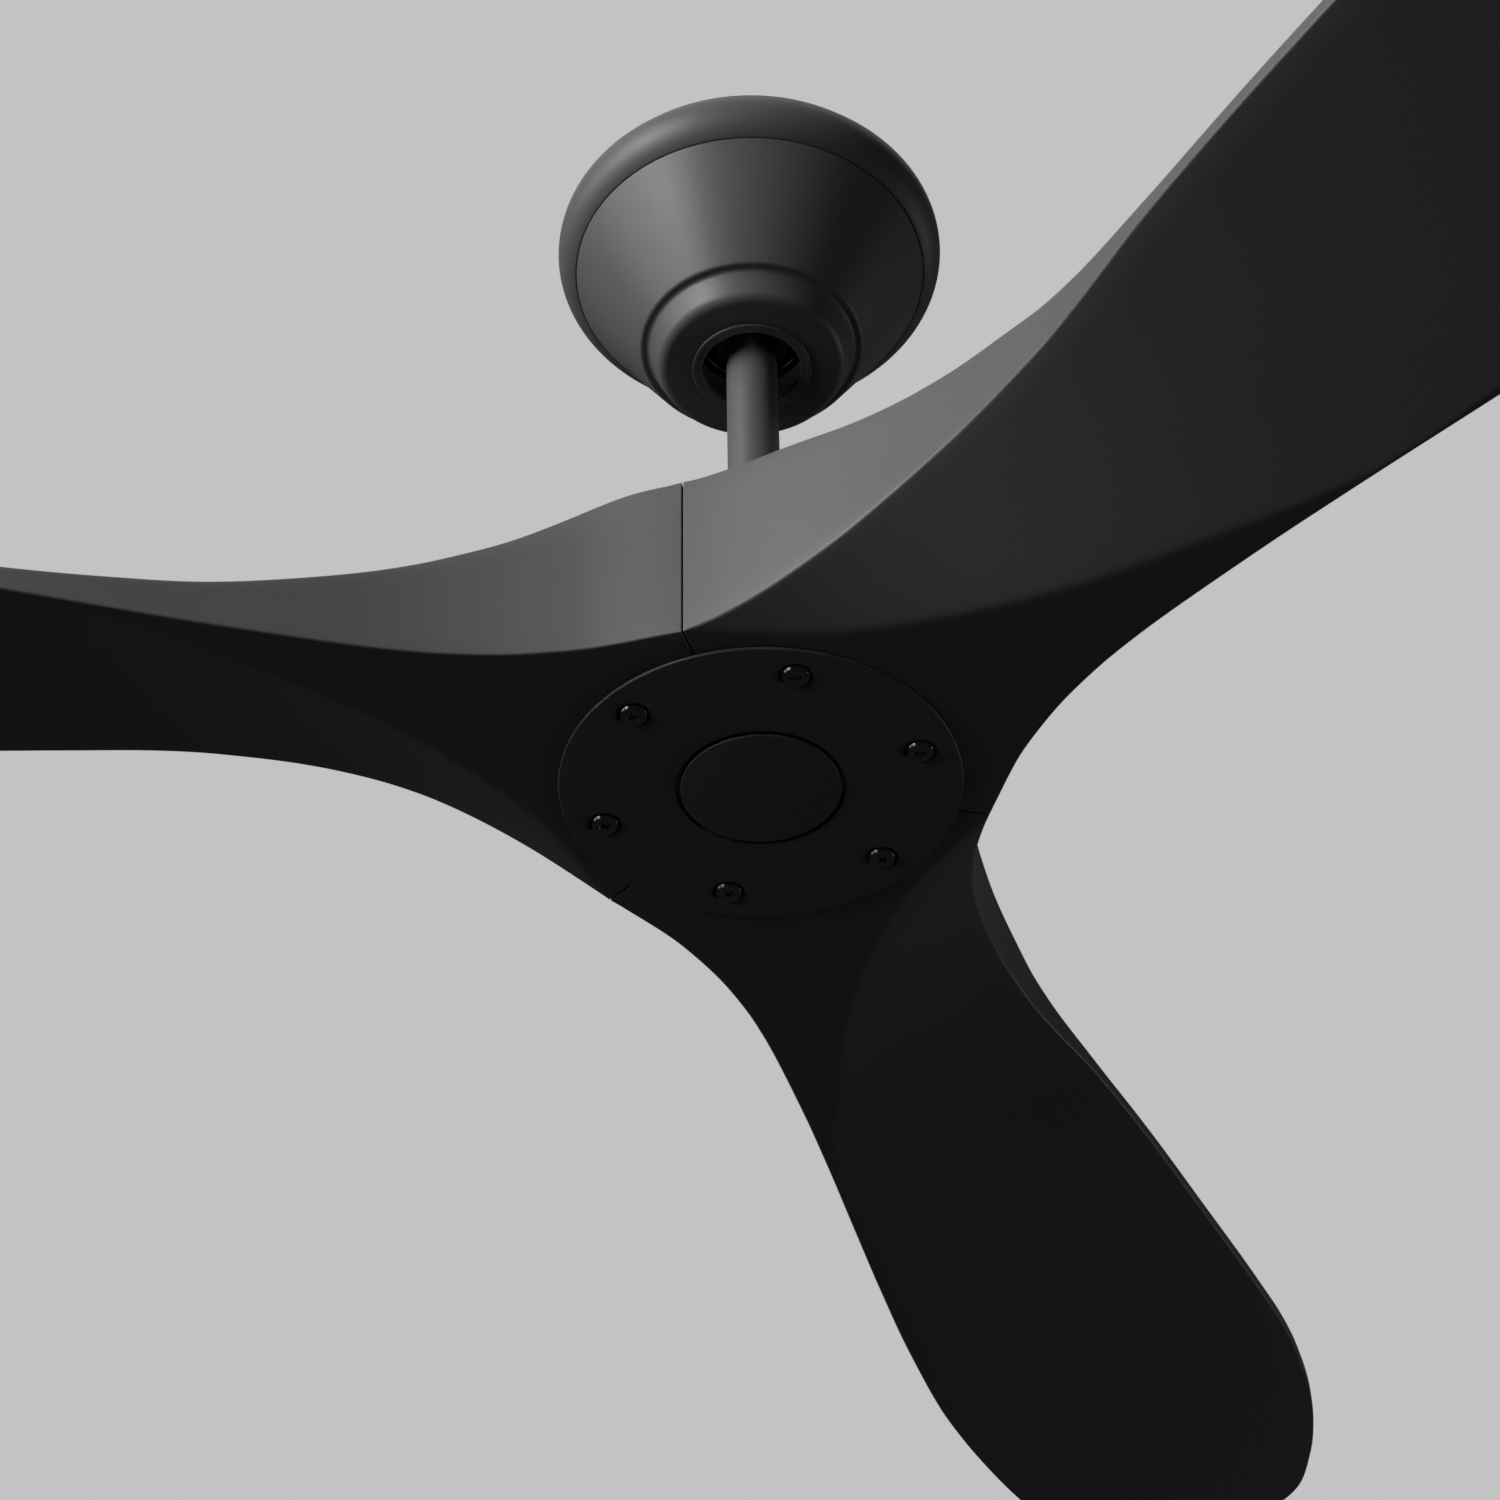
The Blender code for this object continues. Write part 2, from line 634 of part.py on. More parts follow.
def make_plate(axis, finish):
    """Make the round plate that clamps the blades, with a sunk seat for each screw."""
    edge = PLATE_EDGE_ROUND
    plate = turned("blade_plate", ((PLATE_BORE, 0.0), (PLATE_RADIUS - edge, 0.0), (PLATE_RADIUS, edge),
                   (PLATE_RADIUS, PLATE_FLANGE), (SPIGOT_RADIUS, PLATE_FLANGE),
                   (SPIGOT_RADIUS, PLATE_THICKNESS), (LEDGE_BORE, PLATE_THICKNESS),
                   (LEDGE_BORE, LEDGE_HEIGHT), (PLATE_BORE, LEDGE_HEIGHT)), finish, WIDE_SIDES)
    on_hub(plate)
    for index, angle in enumerate(bolt_angles()):
        hole = BLADE_SCREW_RADIUS + FIT_GAP
        tool = turned("seat_tool_%d" % index, ((0.0, -OVERRUN), (RECESS_RADIUS, -OVERRUN),
                      (RECESS_RADIUS, RECESS_DEPTH), (hole, RECESS_DEPTH),
                      (hole, PLATE_THICKNESS + OVERRUN), (0.0, PLATE_THICKNESS + OVERRUN)), None,
                      SMALL_SIDES + SMALL_SIDES // 2)
        turn = Matrix.Rotation(math.radians(angle), 4, "Z")
        tool.matrix_world = Matrix.Translation(round_point(BOLT_CIRCLE, angle)) @ turn
        cut(plate, on_hub(tool))
        hang(axis, tool)
    hang(axis, plate)


def screw_body(name, head_radius, head_height, radius, length, finish):
    """Make a domed screw: its head hangs below the origin and its shank stands above it."""
    rim = -head_height * (1.0 - DOME_SHARE)
    shoulder = -head_height * (1.0 - DOME_SHARE / 4.0)
    profile = ((0.0, -head_height), (head_radius * DOME_WAIST_SHARE, shoulder), (head_radius, rim),
               (head_radius, 0.0), (radius, 0.0), (radius, length), (0.0, length))
    return turned(name, profile, finish, SMALL_SIDES)


def pan_screw(name, head_radius, head_height, radius, length, finish):
    """Make a plain pan screw, placed like a domed one."""
    profile = ((0.0, -head_height), (head_radius * PAN_SHARE, -head_height), (head_radius, 0.0),
               (radius, 0.0), (radius, length), (0.0, length))
    return turned(name, profile, finish, TINY_SIDES)


def cross_recess(screw, tag, head_height):
    """Cut a cross recess into the head of a screw."""
    half_long, half_wide = CROSS_LENGTH / 2.0, CROSS_WIDTH / 2.0
    low, high = -head_height - OVERRUN, -head_height + CROSS_DEPTH
    first = block("cross_tool_a_" + tag, (-half_long, -half_wide, low), (half_long, half_wide, high), None)
    second = block("cross_tool_b_" + tag, (-half_wide, -half_long, low), (half_wide, half_long, high), None)
    for tool in (first, second):
        tool.matrix_world = screw.matrix_world @ tool.matrix_world
    cut(screw, first, second)
    return first, second


def make_blade_screws(axis, finish):
    """Make the screws that hold plate and blades to the motor."""
    seat = RECESS_DEPTH - FIT_GAP
    for index, angle in enumerate(bolt_angles()):
        tag = str(index + 1)
        length = FLOOR_TOP + FIT_GAP + BLADE_SCREW_REACH - seat
        screw = screw_body("blade_screw_" + tag, BLADE_SCREW_HEAD, BLADE_SCREW_HEAD_HEIGHT,
                           BLADE_SCREW_RADIUS, length, finish)
        turn = Matrix.Rotation(math.radians(angle), 4, "Z")
        screw.matrix_world = Matrix.Translation(round_point(BOLT_CIRCLE, angle, PLATE_Z + seat)) @ turn
        tools = cross_recess(screw, tag, BLADE_SCREW_HEAD_HEIGHT)
        hang(axis, screw, *tools)


def make_cap(axis, finish):
    """Make the centre cap: a slightly domed disc with a skirt that clips through the plate."""
    skirt_out = LEDGE_BORE - FIT_GAP
    skirt_in = skirt_out - CAP_SKIRT_WALL
    top = CAP_THICKNESS
    edge = PLATE_EDGE_ROUND
    cap = turned("centre_cap", ((0.0, -CAP_PROUD - CAP_DOME), (CAP_RADIUS - edge, -CAP_PROUD),
                 (CAP_RADIUS, edge - CAP_PROUD), (CAP_RADIUS, top), (skirt_out, top),
                 (skirt_out, top + CAP_SKIRT_HEIGHT), (skirt_in, top + CAP_SKIRT_HEIGHT),
                 (skirt_in, top), (0.0, top)), finish, MOTOR_SIDES)
    hang(axis, on_hub(cap))


def make_rotor_base(axis, finish):
    """Make the lower motor shell: floor, bearing seat, wall and flange."""
    bottom = FLOOR_TOP + FIT_GAP
    seat = BEARING_OUT + FIT_GAP
    lip = LOWER_BEARING - FIT_GAP
    seat_top = LOWER_BEARING + BEARING_WIDTH + FIT_GAP
    step = MAGNET_IN + FIT_GAP
    base = turned("rotor_base", ((LIP_BORE, bottom), (ROTOR_WALL_OUT, bottom),
                  (ROTOR_WALL_OUT, ROTOR_FLANGE_BOTTOM), (ROTOR_RADIUS, ROTOR_FLANGE_BOTTOM),
                  (ROTOR_RADIUS, ROTOR_SPLIT), (ROTOR_WALL_IN, ROTOR_SPLIT),
                  (ROTOR_WALL_IN, MAGNET_LEDGE), (step, MAGNET_LEDGE), (step, BASE_FLOOR_TOP),
                  (seat + SEAT_WALL, BASE_FLOOR_TOP), (seat + SEAT_WALL, seat_top), (seat, seat_top),
                  (seat, lip), (LIP_BORE, lip)), finish, MOTOR_SIDES)
    on_hub(base)
    tools = []
    for index, angle in enumerate(bolt_angles()):
        reach = bottom + BLADE_SCREW_REACH + FIT_GAP
        tool = cylinder("base_hole_tool_%d" % index, BLADE_SCREW_RADIUS + FIT_GAP, 0.0, reach)
        tool.matrix_world = Matrix.Translation(round_point(BOLT_CIRCLE, angle))
        tools.append(on_hub(tool))
    for index in range(BLADE_COUNT):
        tool = cylinder("flange_hole_tool_%d" % index, ROTOR_SCREW_RADIUS + FIT_GAP,
                        ROTOR_FLANGE_BOTTOM - OVERRUN, ROTOR_SPLIT + OVERRUN)
        tool.matrix_world = Matrix.Translation(rotor_screw_point(index))
        tools.append(on_hub(tool))
    cut(base, *tools)
    hang(axis, base, *tools)


def rotor_screw_point(index):
    """Give the place of a rotor screw, between the blades."""
    return round_point(ROTOR_SCREW_CIRCLE + ROTOR_SCREW_RADIUS,
                       FIRST_BLADE_DEG + 360.0 * (index + 0.5) / BLADE_COUNT)


def make_rotor_lid(axis, finish):
    """Make the upper motor shell: lid, bearing seat and the ring that carries the top cover."""
    bottom = ROTOR_SPLIT + FIT_GAP
    top = bottom + LID_THICKNESS
    seat = BEARING_OUT + FIT_GAP
    lip = UPPER_BEARING + BEARING_WIDTH + FIT_GAP
    lid = turned("rotor_lid", ((seat, bottom), (ROTOR_RADIUS, bottom), (ROTOR_RADIUS, top),
                 (LID_RING_OUT, top), (LID_RING_OUT, HUB_TOP), (LID_RING_IN, HUB_TOP),
                 (LID_RING_IN, top), (seat + SEAT_WALL, top), (seat + SEAT_WALL, lip + LIP_THICKNESS),
                 (LIP_BORE, lip + LIP_THICKNESS), (LIP_BORE, lip), (seat, lip)), finish, MOTOR_SIDES)
    on_hub(lid)
    tools = []
    for index in range(BLADE_COUNT):
        tool = cylinder("lid_hole_tool_%d" % index, ROTOR_SCREW_RADIUS + FIT_GAP,
                        bottom - OVERRUN, top + OVERRUN)
        tool.matrix_world = Matrix.Translation(rotor_screw_point(index))
        tools.append(on_hub(tool))
        hole = cylinder("ring_hole_tool_%d" % index, COVER_SCREW_RADIUS + FIT_GAP,
                        HUB_TOP - COVER_SCREW_LENGTH, HUB_TOP + OVERRUN)
        hole.matrix_world = Matrix.Translation(cover_screw_point(index))
        tools.append(on_hub(hole))
    cut(lid, *tools)
    hang(axis, lid, *tools)


def cover_screw_point(index):
    """Give the place of a top cover screw, over a blade's middle."""
    return round_point((LID_RING_IN + LID_RING_OUT) / 2.0, FIRST_BLADE_DEG + 360.0 * index / BLADE_COUNT)


def make_rotor_screws(axis, finish):
    """Make the screws that close the motor, driven from above."""
    seat = ROTOR_SPLIT + FIT_GAP + LID_THICKNESS + FIT_GAP
    for index in range(BLADE_COUNT):
        screw = pan_screw("rotor_screw_%d" % (index + 1), ROTOR_SCREW_HEAD, ROTOR_SCREW_HEAD_HEIGHT,
                          ROTOR_SCREW_RADIUS, ROTOR_SCREW_LENGTH, finish)
        lay(screw, (0.0, 0.0, -1.0), rotor_screw_point(index) + Vector((0.0, 0.0, seat)))
        hang(axis, on_hub(screw))


def make_magnets(axis, finish):
    """Make the ring magnet, which stands on the shell's ledge."""
    bottom = MAGNET_LEDGE + FIT_GAP
    outer = ROTOR_WALL_IN - FIT_GAP
    ring = turned("magnet_ring", ((MAGNET_IN, bottom), (outer, bottom), (outer, MAGNET_TOP),
                  (MAGNET_IN, MAGNET_TOP)), finish, MOTOR_SIDES)
    hang(axis, on_hub(ring))


def race(name, inner, outer, bottom, finish):
    """Make one ring of a sealed bearing."""
    top = bottom + BEARING_WIDTH
    profile = ((inner, bottom), (outer, bottom), (outer, top), (inner, top))
    return on_hub(turned(name, profile, finish))


def make_bearings(still, axis, finish):
    """Make both bearings: the inner rings stay with the shaft, the outer rings turn."""
    for label, bottom in (("lower", LOWER_BEARING), ("upper", UPPER_BEARING)):
        hang(still, race(label + "_bearing_inner_ring", BEARING_BORE, RACE_IN, bottom, finish))
        hang(axis, race(label + "_bearing_outer_ring", RACE_IN + FIT_GAP, BEARING_OUT, bottom, finish))


def make_shaft(still, finish):
    """Make the fixed hollow shaft, with a shoulder for the stator and a slot for the lead."""
    groove_low = LOWER_BEARING - FIT_GAP - CIRCLIP_THICKNESS - FIT_GAP
    groove_high = LOWER_BEARING
    shoulder_low = LOWER_BEARING + BEARING_WIDTH + FIT_GAP
    shoulder_high = UPPER_BEARING - FIT_GAP
    shaft = turned("motor_shaft", ((0.0, SHAFT_BOTTOM), (SHAFT_RADIUS, SHAFT_BOTTOM),
                   (SHAFT_RADIUS, groove_low), (GROOVE_RADIUS, groove_low),
                   (GROOVE_RADIUS, groove_high), (SHAFT_RADIUS, groove_high),
                   (SHAFT_RADIUS, shoulder_low), (SHOULDER_RADIUS, shoulder_low),
                   (SHOULDER_RADIUS, shoulder_high), (SHAFT_RADIUS, shoulder_high),
                   (SHAFT_RADIUS, SHAFT_TOP), (SHAFT_BORE, SHAFT_TOP), (SHAFT_BORE, STATOR_TOP),
                   (0.0, STATOR_TOP)), finish)
    on_hub(shaft)
    low = STATOR_TOP + SLOT_SILL
    slot = block("shaft_slot_tool", (0.0, -SLOT_WIDTH / 2.0, low),
                 (SHOULDER_RADIUS + OVERRUN, SLOT_WIDTH / 2.0, low + SLOT_LENGTH), None)
    cut(shaft, on_hub(slot))
    hang(still, shaft, slot)


def make_circlip(still, finish):
    """Make the split ring in the shaft's groove, which keeps the rotor from dropping."""
    top = LOWER_BEARING - FIT_GAP
    clip = turned("shaft_circlip", ((GROOVE_RADIUS + FIT_GAP, top - CIRCLIP_THICKNESS),
                  (CIRCLIP_OUT, top - CIRCLIP_THICKNESS), (CIRCLIP_OUT, top),
                  (GROOVE_RADIUS + FIT_GAP, top)), finish)
    tool = block("circlip_tool", (0.0, -CIRCLIP_OPENING / 2.0, 0.0),
                 (CIRCLIP_OUT + OVERRUN, CIRCLIP_OPENING / 2.0, top + OVERRUN), None)
    cut(on_hub(clip), on_hub(tool))
    hang(still, clip, tool)


def stator_outline():
    """List the stator's star outline: a round hub with a headed tooth for each coil."""
    step = 2.0 * math.pi / COIL_COUNT
    half = TOOTH_WIDTH / 2.0
    head_in = STATOR_RADIUS - TOOTH_HEAD_DEPTH
    head_half = step / 2.0 - math.asin(TOOTH_HEAD_OPENING / (2.0 * STATOR_RADIUS))
    face = head_half * TOOTH_FACE_SHARE
    root = math.asin(half / STATOR_HUB)
    neck = math.asin(half / head_in)
    points = []
    for index in range(COIL_COUNT):
        middle = index * step
        marks = [(STATOR_HUB, -root), (head_in, -neck), (STATOR_RADIUS, -head_half)]
        marks += [(STATOR_RADIUS, -face), (STATOR_RADIUS, face), (STATOR_RADIUS, head_half)]
        marks += [(head_in, neck), (STATOR_HUB, root)]
        for radius, turn in marks:
            points.append((radius * math.cos(middle + turn), radius * math.sin(middle + turn)))
    return points


def make_stator(still, core_finish, coil_finish):
    """Make the stacked core and one wound coil round each of its teeth."""
    core = prism("stator_core", stator_outline(), STATOR_BOTTOM, STATOR_TOP, core_finish)
    bore = cylinder("stator_bore_tool", SHOULDER_RADIUS + FIT_GAP, STATOR_BOTTOM - OVERRUN,
                    STATOR_TOP + OVERRUN, None, ROUND_SIDES)
    cut(on_hub(core), on_hub(bore))
    hang(still, core, bore)
    inner_half = TOOTH_WIDTH / 2.0 + FIT_GAP
    for index in range(COIL_COUNT):
        tag = str(index + 1)
        turn = Matrix.Rotation(2.0 * math.pi * index / COIL_COUNT, 4, "Z")
        coil = block("stator_coil_" + tag,
                     (COIL_START, -inner_half - COIL_BUILD, STATOR_BOTTOM - FIT_GAP - COIL_BUILD),
                     (COIL_END, inner_half + COIL_BUILD, STATOR_TOP + FIT_GAP + COIL_BUILD), coil_finish)
        hole = block("coil_tool_" + tag,
                     (COIL_START - OVERRUN, -inner_half, STATOR_BOTTOM - FIT_GAP),
                     (COIL_END + OVERRUN, inner_half, STATOR_TOP + FIT_GAP), None)
        for item in (coil, hole):
            item.matrix_world = turn
            on_hub(item)
        cut(coil, hole)
        hang(still, coil, hole)


def make_coupling(still, finish):
    """Make the coupling: a collar on the shaft and a socket for the downrod."""
    nose = UPPER_BEARING + BEARING_WIDTH + FIT_GAP
    coupling = turned("motor_coupling", ((SHAFT_RADIUS + FIT_GAP, nose), (NOSE_RADIUS, nose),
                      (NOSE_RADIUS, COUPLING_BOTTOM), (COLLAR_RADIUS, COUPLING_BOTTOM),
                      (COLLAR_RADIUS, COLLAR_TOP),
                      (SOCKET_RADIUS, SOCKET_START), (SOCKET_RADIUS, SOCKET_TOP),
                      (ROD_RADIUS + FIT_GAP, SOCKET_TOP), (ROD_RADIUS + FIT_GAP, SOCKET_FLOOR),
                      (SHAFT_RADIUS + FIT_GAP, SOCKET_FLOOR)), finish)
    on_hub(coupling)
    reach = SOCKET_RADIUS + OVERRUN
    pin_hole = lay(cylinder("coupling_pin_tool", CLEVIS_RADIUS + FIT_GAP, -reach, reach), (1.0, 0.0, 0.0),
                   (0.0, 0.0, CLEVIS_HEIGHT))
    grub_hole = lay(cylinder("coupling_grub_tool", GRUB_RADIUS + FIT_GAP, -reach, reach),
                    (0.0, 1.0, 0.0), (0.0, 0.0, GRUB_HEIGHT))
    cut(coupling, on_hub(pin_hole), on_hub(grub_hole))
    hang(still, coupling, pin_hole, grub_hole)


def make_coupling_fasteners(still, finish):
    """Make the clevis pin, its ring clip and the two grub screws that grip the downrod."""
    head = -SOCKET_RADIUS - FIT_GAP
    end = head + CLEVIS_LENGTH
    far = head - CLEVIS_HEAD_THICKNESS
    pin = turned("clevis_pin", ((0.0, far), (CLEVIS_HEAD, far), (CLEVIS_HEAD, head),
                 (CLEVIS_RADIUS, head), (CLEVIS_RADIUS, end - CLEVIS_RADIUS / 2.0),
                 (CLEVIS_RADIUS / 2.0, end), (0.0, end)), finish, SMALL_SIDES)
    clip_x = SOCKET_RADIUS + CLIP_WIRE + FIT_GAP
    hole = cylinder("clip_hole_tool", CLIP_WIRE + FIT_GAP, -CLEVIS_HEAD, CLEVIS_HEAD)
    lay(pin, (1.0, 0.0, 0.0), (0.0, 0.0, CLEVIS_HEIGHT))
    hole.matrix_world = Matrix.Translation((clip_x, 0.0, CLEVIS_HEIGHT))
    cut(on_hub(pin), on_hub(hole))
    clip = ring_clip("hairpin_clip", finish)
    lay(clip, (1.0, 0.0, 0.0), (clip_x, 0.0, CLEVIS_HEIGHT))
    hang(still, pin, hole, on_hub(clip))
    for index, side in enumerate((-1.0, 1.0)):
        start = ROD_RADIUS + FIT_GAP
        grub = cylinder("coupling_grub_screw_%d" % (index + 1), GRUB_RADIUS, start, start + GRUB_LENGTH,
                        finish)
        lay(grub, (0.0, side, 0.0), (0.0, 0.0, GRUB_HEIGHT))
        hang(still, on_hub(grub))


def wire_curve(name, points, radius, finish):
    """Make a round wire or lead through a list of points, closed at both ends."""
    path = bpy.data.curves.new(name, "CURVE")
    path.dimensions = "3D"
    path.bevel_depth = radius
    path.bevel_resolution = 1
    path.use_fill_caps = True
    spline = path.splines.new("POLY")
    spline.points.add(len(points) - 1)
    for target, place in zip(spline.points, points):
        target.co = (*place, 1.0)
    path.materials.append(finish)
    item = bpy.data.objects.new(name, path)
    bpy.context.scene.collection.objects.link(item)
    return item


def ring_clip(name, finish):
    """Make a hairpin clip: a straight leg through the pin and a second leg beside it."""
    leg = CLEVIS_HEAD + CLIP_WIRE
    points = [(-leg, 0.0, 0.0)]
    points += [(leg + CLIP_RADIUS * math.cos(a), CLIP_RADIUS * (1.0 + math.sin(a)), 0.0)
               for a in np.radians(np.linspace(-90.0, 90.0, CLIP_BENDS + 1))]
    points += [(-leg, 2.0 * CLIP_RADIUS, 0.0)]
    return wire_curve(name, points, CLIP_WIRE, finish)


def make_coupling_cover(still, finish):
    """Make the bell-shaped cover that slides down the rod and hides the coupling."""
    wall = COVER_WALL
    neck_in = ROD_RADIUS + FIT_GAP
    shoulder = COVER_SHOULDER
    start = COVER_NECK_START
    outer = [(COVER_RADIUS, COVER_BOTTOM), (COVER_RADIUS, shoulder)]
    outer += through((COVER_RADIUS, shoulder), (COVER_NECK, start), COVER_CURVE_SHARES)[1:]
    outer += [(COVER_NECK, COVER_TOP - wall / 2.0), (COVER_NECK - wall / 2.0, COVER_TOP)]
    outer += [(neck_in, COVER_TOP)]
    inner_radius = COVER_RADIUS - wall
    inner = through((neck_in, start - wall), (inner_radius, shoulder - wall), COVER_INSIDE_SHARES)
    inner += [(inner_radius, COVER_BOTTOM)]
    hang(still, on_hub(turned("coupling_cover", outer + inner, finish)))


def make_top_cover(axis, finish):
    """Make the disc that closes the hub from above, and its screws. It turns with the blades."""
    low = HUB_TOP + FIT_GAP
    high = low + TOP_COVER_WALL
    ease = TOP_COVER_EASE
    cover = turned("motor_top_cover", ((TOP_COVER_BORE, low), (TOP_COVER_RADIUS, low),
                   (TOP_COVER_RADIUS, high - ease), (TOP_COVER_RADIUS - ease, high),
                   (TOP_COVER_BORE, high)), finish, MOTOR_SIDES)
    on_hub(cover)
    tools = []
    for index in range(BLADE_COUNT):
        tool = cylinder("cover_hole_tool_%d" % index, COVER_SCREW_RADIUS + FIT_GAP, low - OVERRUN,
                        high + OVERRUN)
        tool.matrix_world = Matrix.Translation(cover_screw_point(index))
        tools.append(on_hub(tool))
        screw = pan_screw("cover_screw_%d" % (index + 1), COVER_SCREW_HEAD, COVER_SCREW_HEAD_HEIGHT,
                          COVER_SCREW_RADIUS, COVER_SCREW_LENGTH, finish)
        place = cover_screw_point(index) + Vector((0.0, 0.0, high + FIT_GAP))
        hang(axis, on_hub(lay(screw, (0.0, 0.0, -1.0), place)))
    cut(cover, *tools)
    hang(axis, cover, *tools)


def make_downrod(still, finish):
    """Make the downrod, with cross holes for the ball's pin and the coupling's pin."""
    bottom = PLATE_Z + SOCKET_FLOOR + FIT_GAP
    rod = turned("downrod", ((ROD_BORE, bottom), (ROD_RADIUS, bottom), (ROD_RADIUS, ROD_TOP),
                 (ROD_BORE, ROD_TOP)), finish)
    reach = ROD_RADIUS + OVERRUN
    tools = []
    for label, radius, height in (("ball", PIN_RADIUS, BALL_Z + PIN_HEIGHT),
                                  ("coupling", CLEVIS_RADIUS, PLATE_Z + CLEVIS_HEIGHT)):
        tool = cylinder("rod_%s_tool" % label, radius + FIT_GAP, -reach, reach)
        tools.append(lay(tool, (1.0, 0.0, 0.0), (0.0, 0.0, height)))
    cut(rod, *tools)
    hang(still, rod, *tools)


def make_lead(still, finish):
    """Make the motor's lead: from the shaft's slot up its bore, then past both pins in the rod."""
    low = PLATE_Z + STATOR_TOP + SLOT_SILL
    turn_low, turn_high = PLATE_Z + SHAFT_TOP, PLATE_Z + CLEVIS_HEIGHT - CLEVIS_HEAD - LEAD_RADIUS
    aside = ROD_BORE - LEAD_RADIUS - FIT_GAP
    points = [(0.0, 0.0, low)]
    for step in range(LEAD_BENDS + 1):
        share = step / LEAD_BENDS
        swing = (1.0 - math.cos(math.pi * share)) / 2.0
        points.append((0.0, aside * swing, turn_low + share * (turn_high - turn_low)))
    points.append((0.0, aside, ROD_TOP + LEAD_PAST_ROD))
    hang(still, wire_curve("motor_lead", points, LEAD_RADIUS, finish))


def sphere_points(radius, low, high, rings):
    """List points on a sphere's outline from one height to another."""
    heights = np.linspace(low, high, rings + 1)
    return [(math.sqrt(radius * radius - h * h), float(h)) for h in heights]


def make_ball(still, finish, pin_finish):
    """Make the hanger ball on the downrod, with its cross pin and grub screw."""
    bore = ROD_RADIUS + FIT_GAP
    profile = [(bore, -BALL_BOTTOM)] + sphere_points(BALL_RADIUS, -BALL_BOTTOM, BALL_TOP, BALL_RINGS)
    profile += [(bore, BALL_TOP)]
    ball = turned("hanger_ball", profile, finish)
    reach = BALL_RADIUS + OVERRUN
    slot_half = PIN_RADIUS + FIT_GAP
    groove = block("ball_slot_tool", (-PIN_HALF - FIT_GAP, -slot_half, PIN_HEIGHT - slot_half),
                   (PIN_HALF + FIT_GAP, slot_half, BALL_TOP + OVERRUN), None)
    keyway = turned("keyway_tool", ((KEYWAY_RADIUS, -KEYWAY_WIDTH / 2.0), (reach, -KEYWAY_WIDTH / 2.0),
                    (reach, KEYWAY_WIDTH / 2.0), (KEYWAY_RADIUS, KEYWAY_WIDTH / 2.0)), None)
    lay(keyway, (1.0, 0.0, 0.0))
    grub_hole = lay(cylinder("ball_grub_tool", BALL_GRUB_RADIUS + FIT_GAP, 0.0, reach),
                    (1.0, 0.0, 0.0), (0.0, 0.0, -BALL_GRUB_DROP))
    pin = lay(cylinder("ball_cross_pin", PIN_RADIUS, -PIN_HALF, PIN_HALF, pin_finish), (1.0, 0.0, 0.0),
              (0.0, 0.0, PIN_HEIGHT))
    grub = lay(cylinder("ball_grub_screw", BALL_GRUB_RADIUS, bore, bore + BALL_GRUB_LENGTH, pin_finish),
               (1.0, 0.0, 0.0), (0.0, 0.0, -BALL_GRUB_DROP))
    shift = Matrix.Translation((0.0, 0.0, BALL_Z))
    for item in (ball, groove, keyway, grub_hole, pin, grub):
        item.matrix_world = shift @ item.matrix_world
    cut(ball, groove, keyway, grub_hole)
    hang(still, ball, groove, keyway, grub_hole, pin, grub)


def make_bracket(root, finish):
    """Make the hanger bracket: ceiling strap, two legs and the cup that carries the ball."""
    thick = BRACKET_THICKNESS
    wide, narrow = BRACKET_WIDTH / 2.0, TONGUE_WIDTH / 2.0
    outline = [(-TONGUE_HALF, -narrow), (-BRACKET_HALF, -narrow), (-BRACKET_HALF, -wide),
               (BRACKET_HALF, -wide), (BRACKET_HALF, -narrow), (TONGUE_HALF, -narrow),
               (TONGUE_HALF, narrow), (BRACKET_HALF, narrow), (BRACKET_HALF, wide),
               (-BRACKET_HALF, wide), (-BRACKET_HALF, narrow), (-TONGUE_HALF, narrow)]
    bracket = prism("hanger_bracket", outline, -thick, 0.0, finish)
    parts = []
    leg_half = LEG_WIDTH / 2.0
    sink = thick / 2.0
    for side, label in ((-1.0, "left"), (1.0, "right")):
        ear_in, ear_out = side * (TONGUE_HALF - thick), side * TONGUE_HALF
        parts.append(block("ear_" + label, (min(ear_in, ear_out), -narrow, -EAR_BOTTOM),
                           (max(ear_in, ear_out), narrow, -sink), None))
        leg_in, leg_out = side * LEG_X, side * (LEG_X + thick)
        parts.append(block("leg_" + label, (min(leg_in, leg_out), -leg_half, -STRAP_BOTTOM),
                           (max(leg_in, leg_out), leg_half, -sink), None))
    parts.append(block("strap_tool", (-LEG_X - sink, -leg_half, -STRAP_BOTTOM),
                       (LEG_X + sink, leg_half, -STRAP_BOTTOM + thick), None))
    parts.append(bowl_tool())
    add(bracket, *parts)
    tools = bracket_cutters()
    cut(bracket, *tools)
    key = block("key_tool", (-KEY_WIDTH / 2.0, KEY_RADIUS, BALL_Z - KEY_BOTTOM),
                (KEY_WIDTH / 2.0, BALL_RADIUS + BOWL_WALL / 2.0, BALL_Z - KEY_TOP), None)
    add(bracket, key)
    hang(root, bracket, key, *parts, *tools)


def bowl_tool():
    """Make the outside of the cup that carries the ball, with the space for the ball left in."""
    outer = BALL_RADIUS + BOWL_WALL
    profile = [(0.0, -BOWL_BOTTOM)] + sphere_points(outer, -BOWL_BOTTOM, -BOWL_TOP, BOWL_RINGS)
    profile += [(0.0, -BOWL_TOP)]
    bowl = turned("bowl_tool", profile, None)
    bowl.matrix_world = Matrix.Translation((0.0, 0.0, BALL_Z))
    return bowl


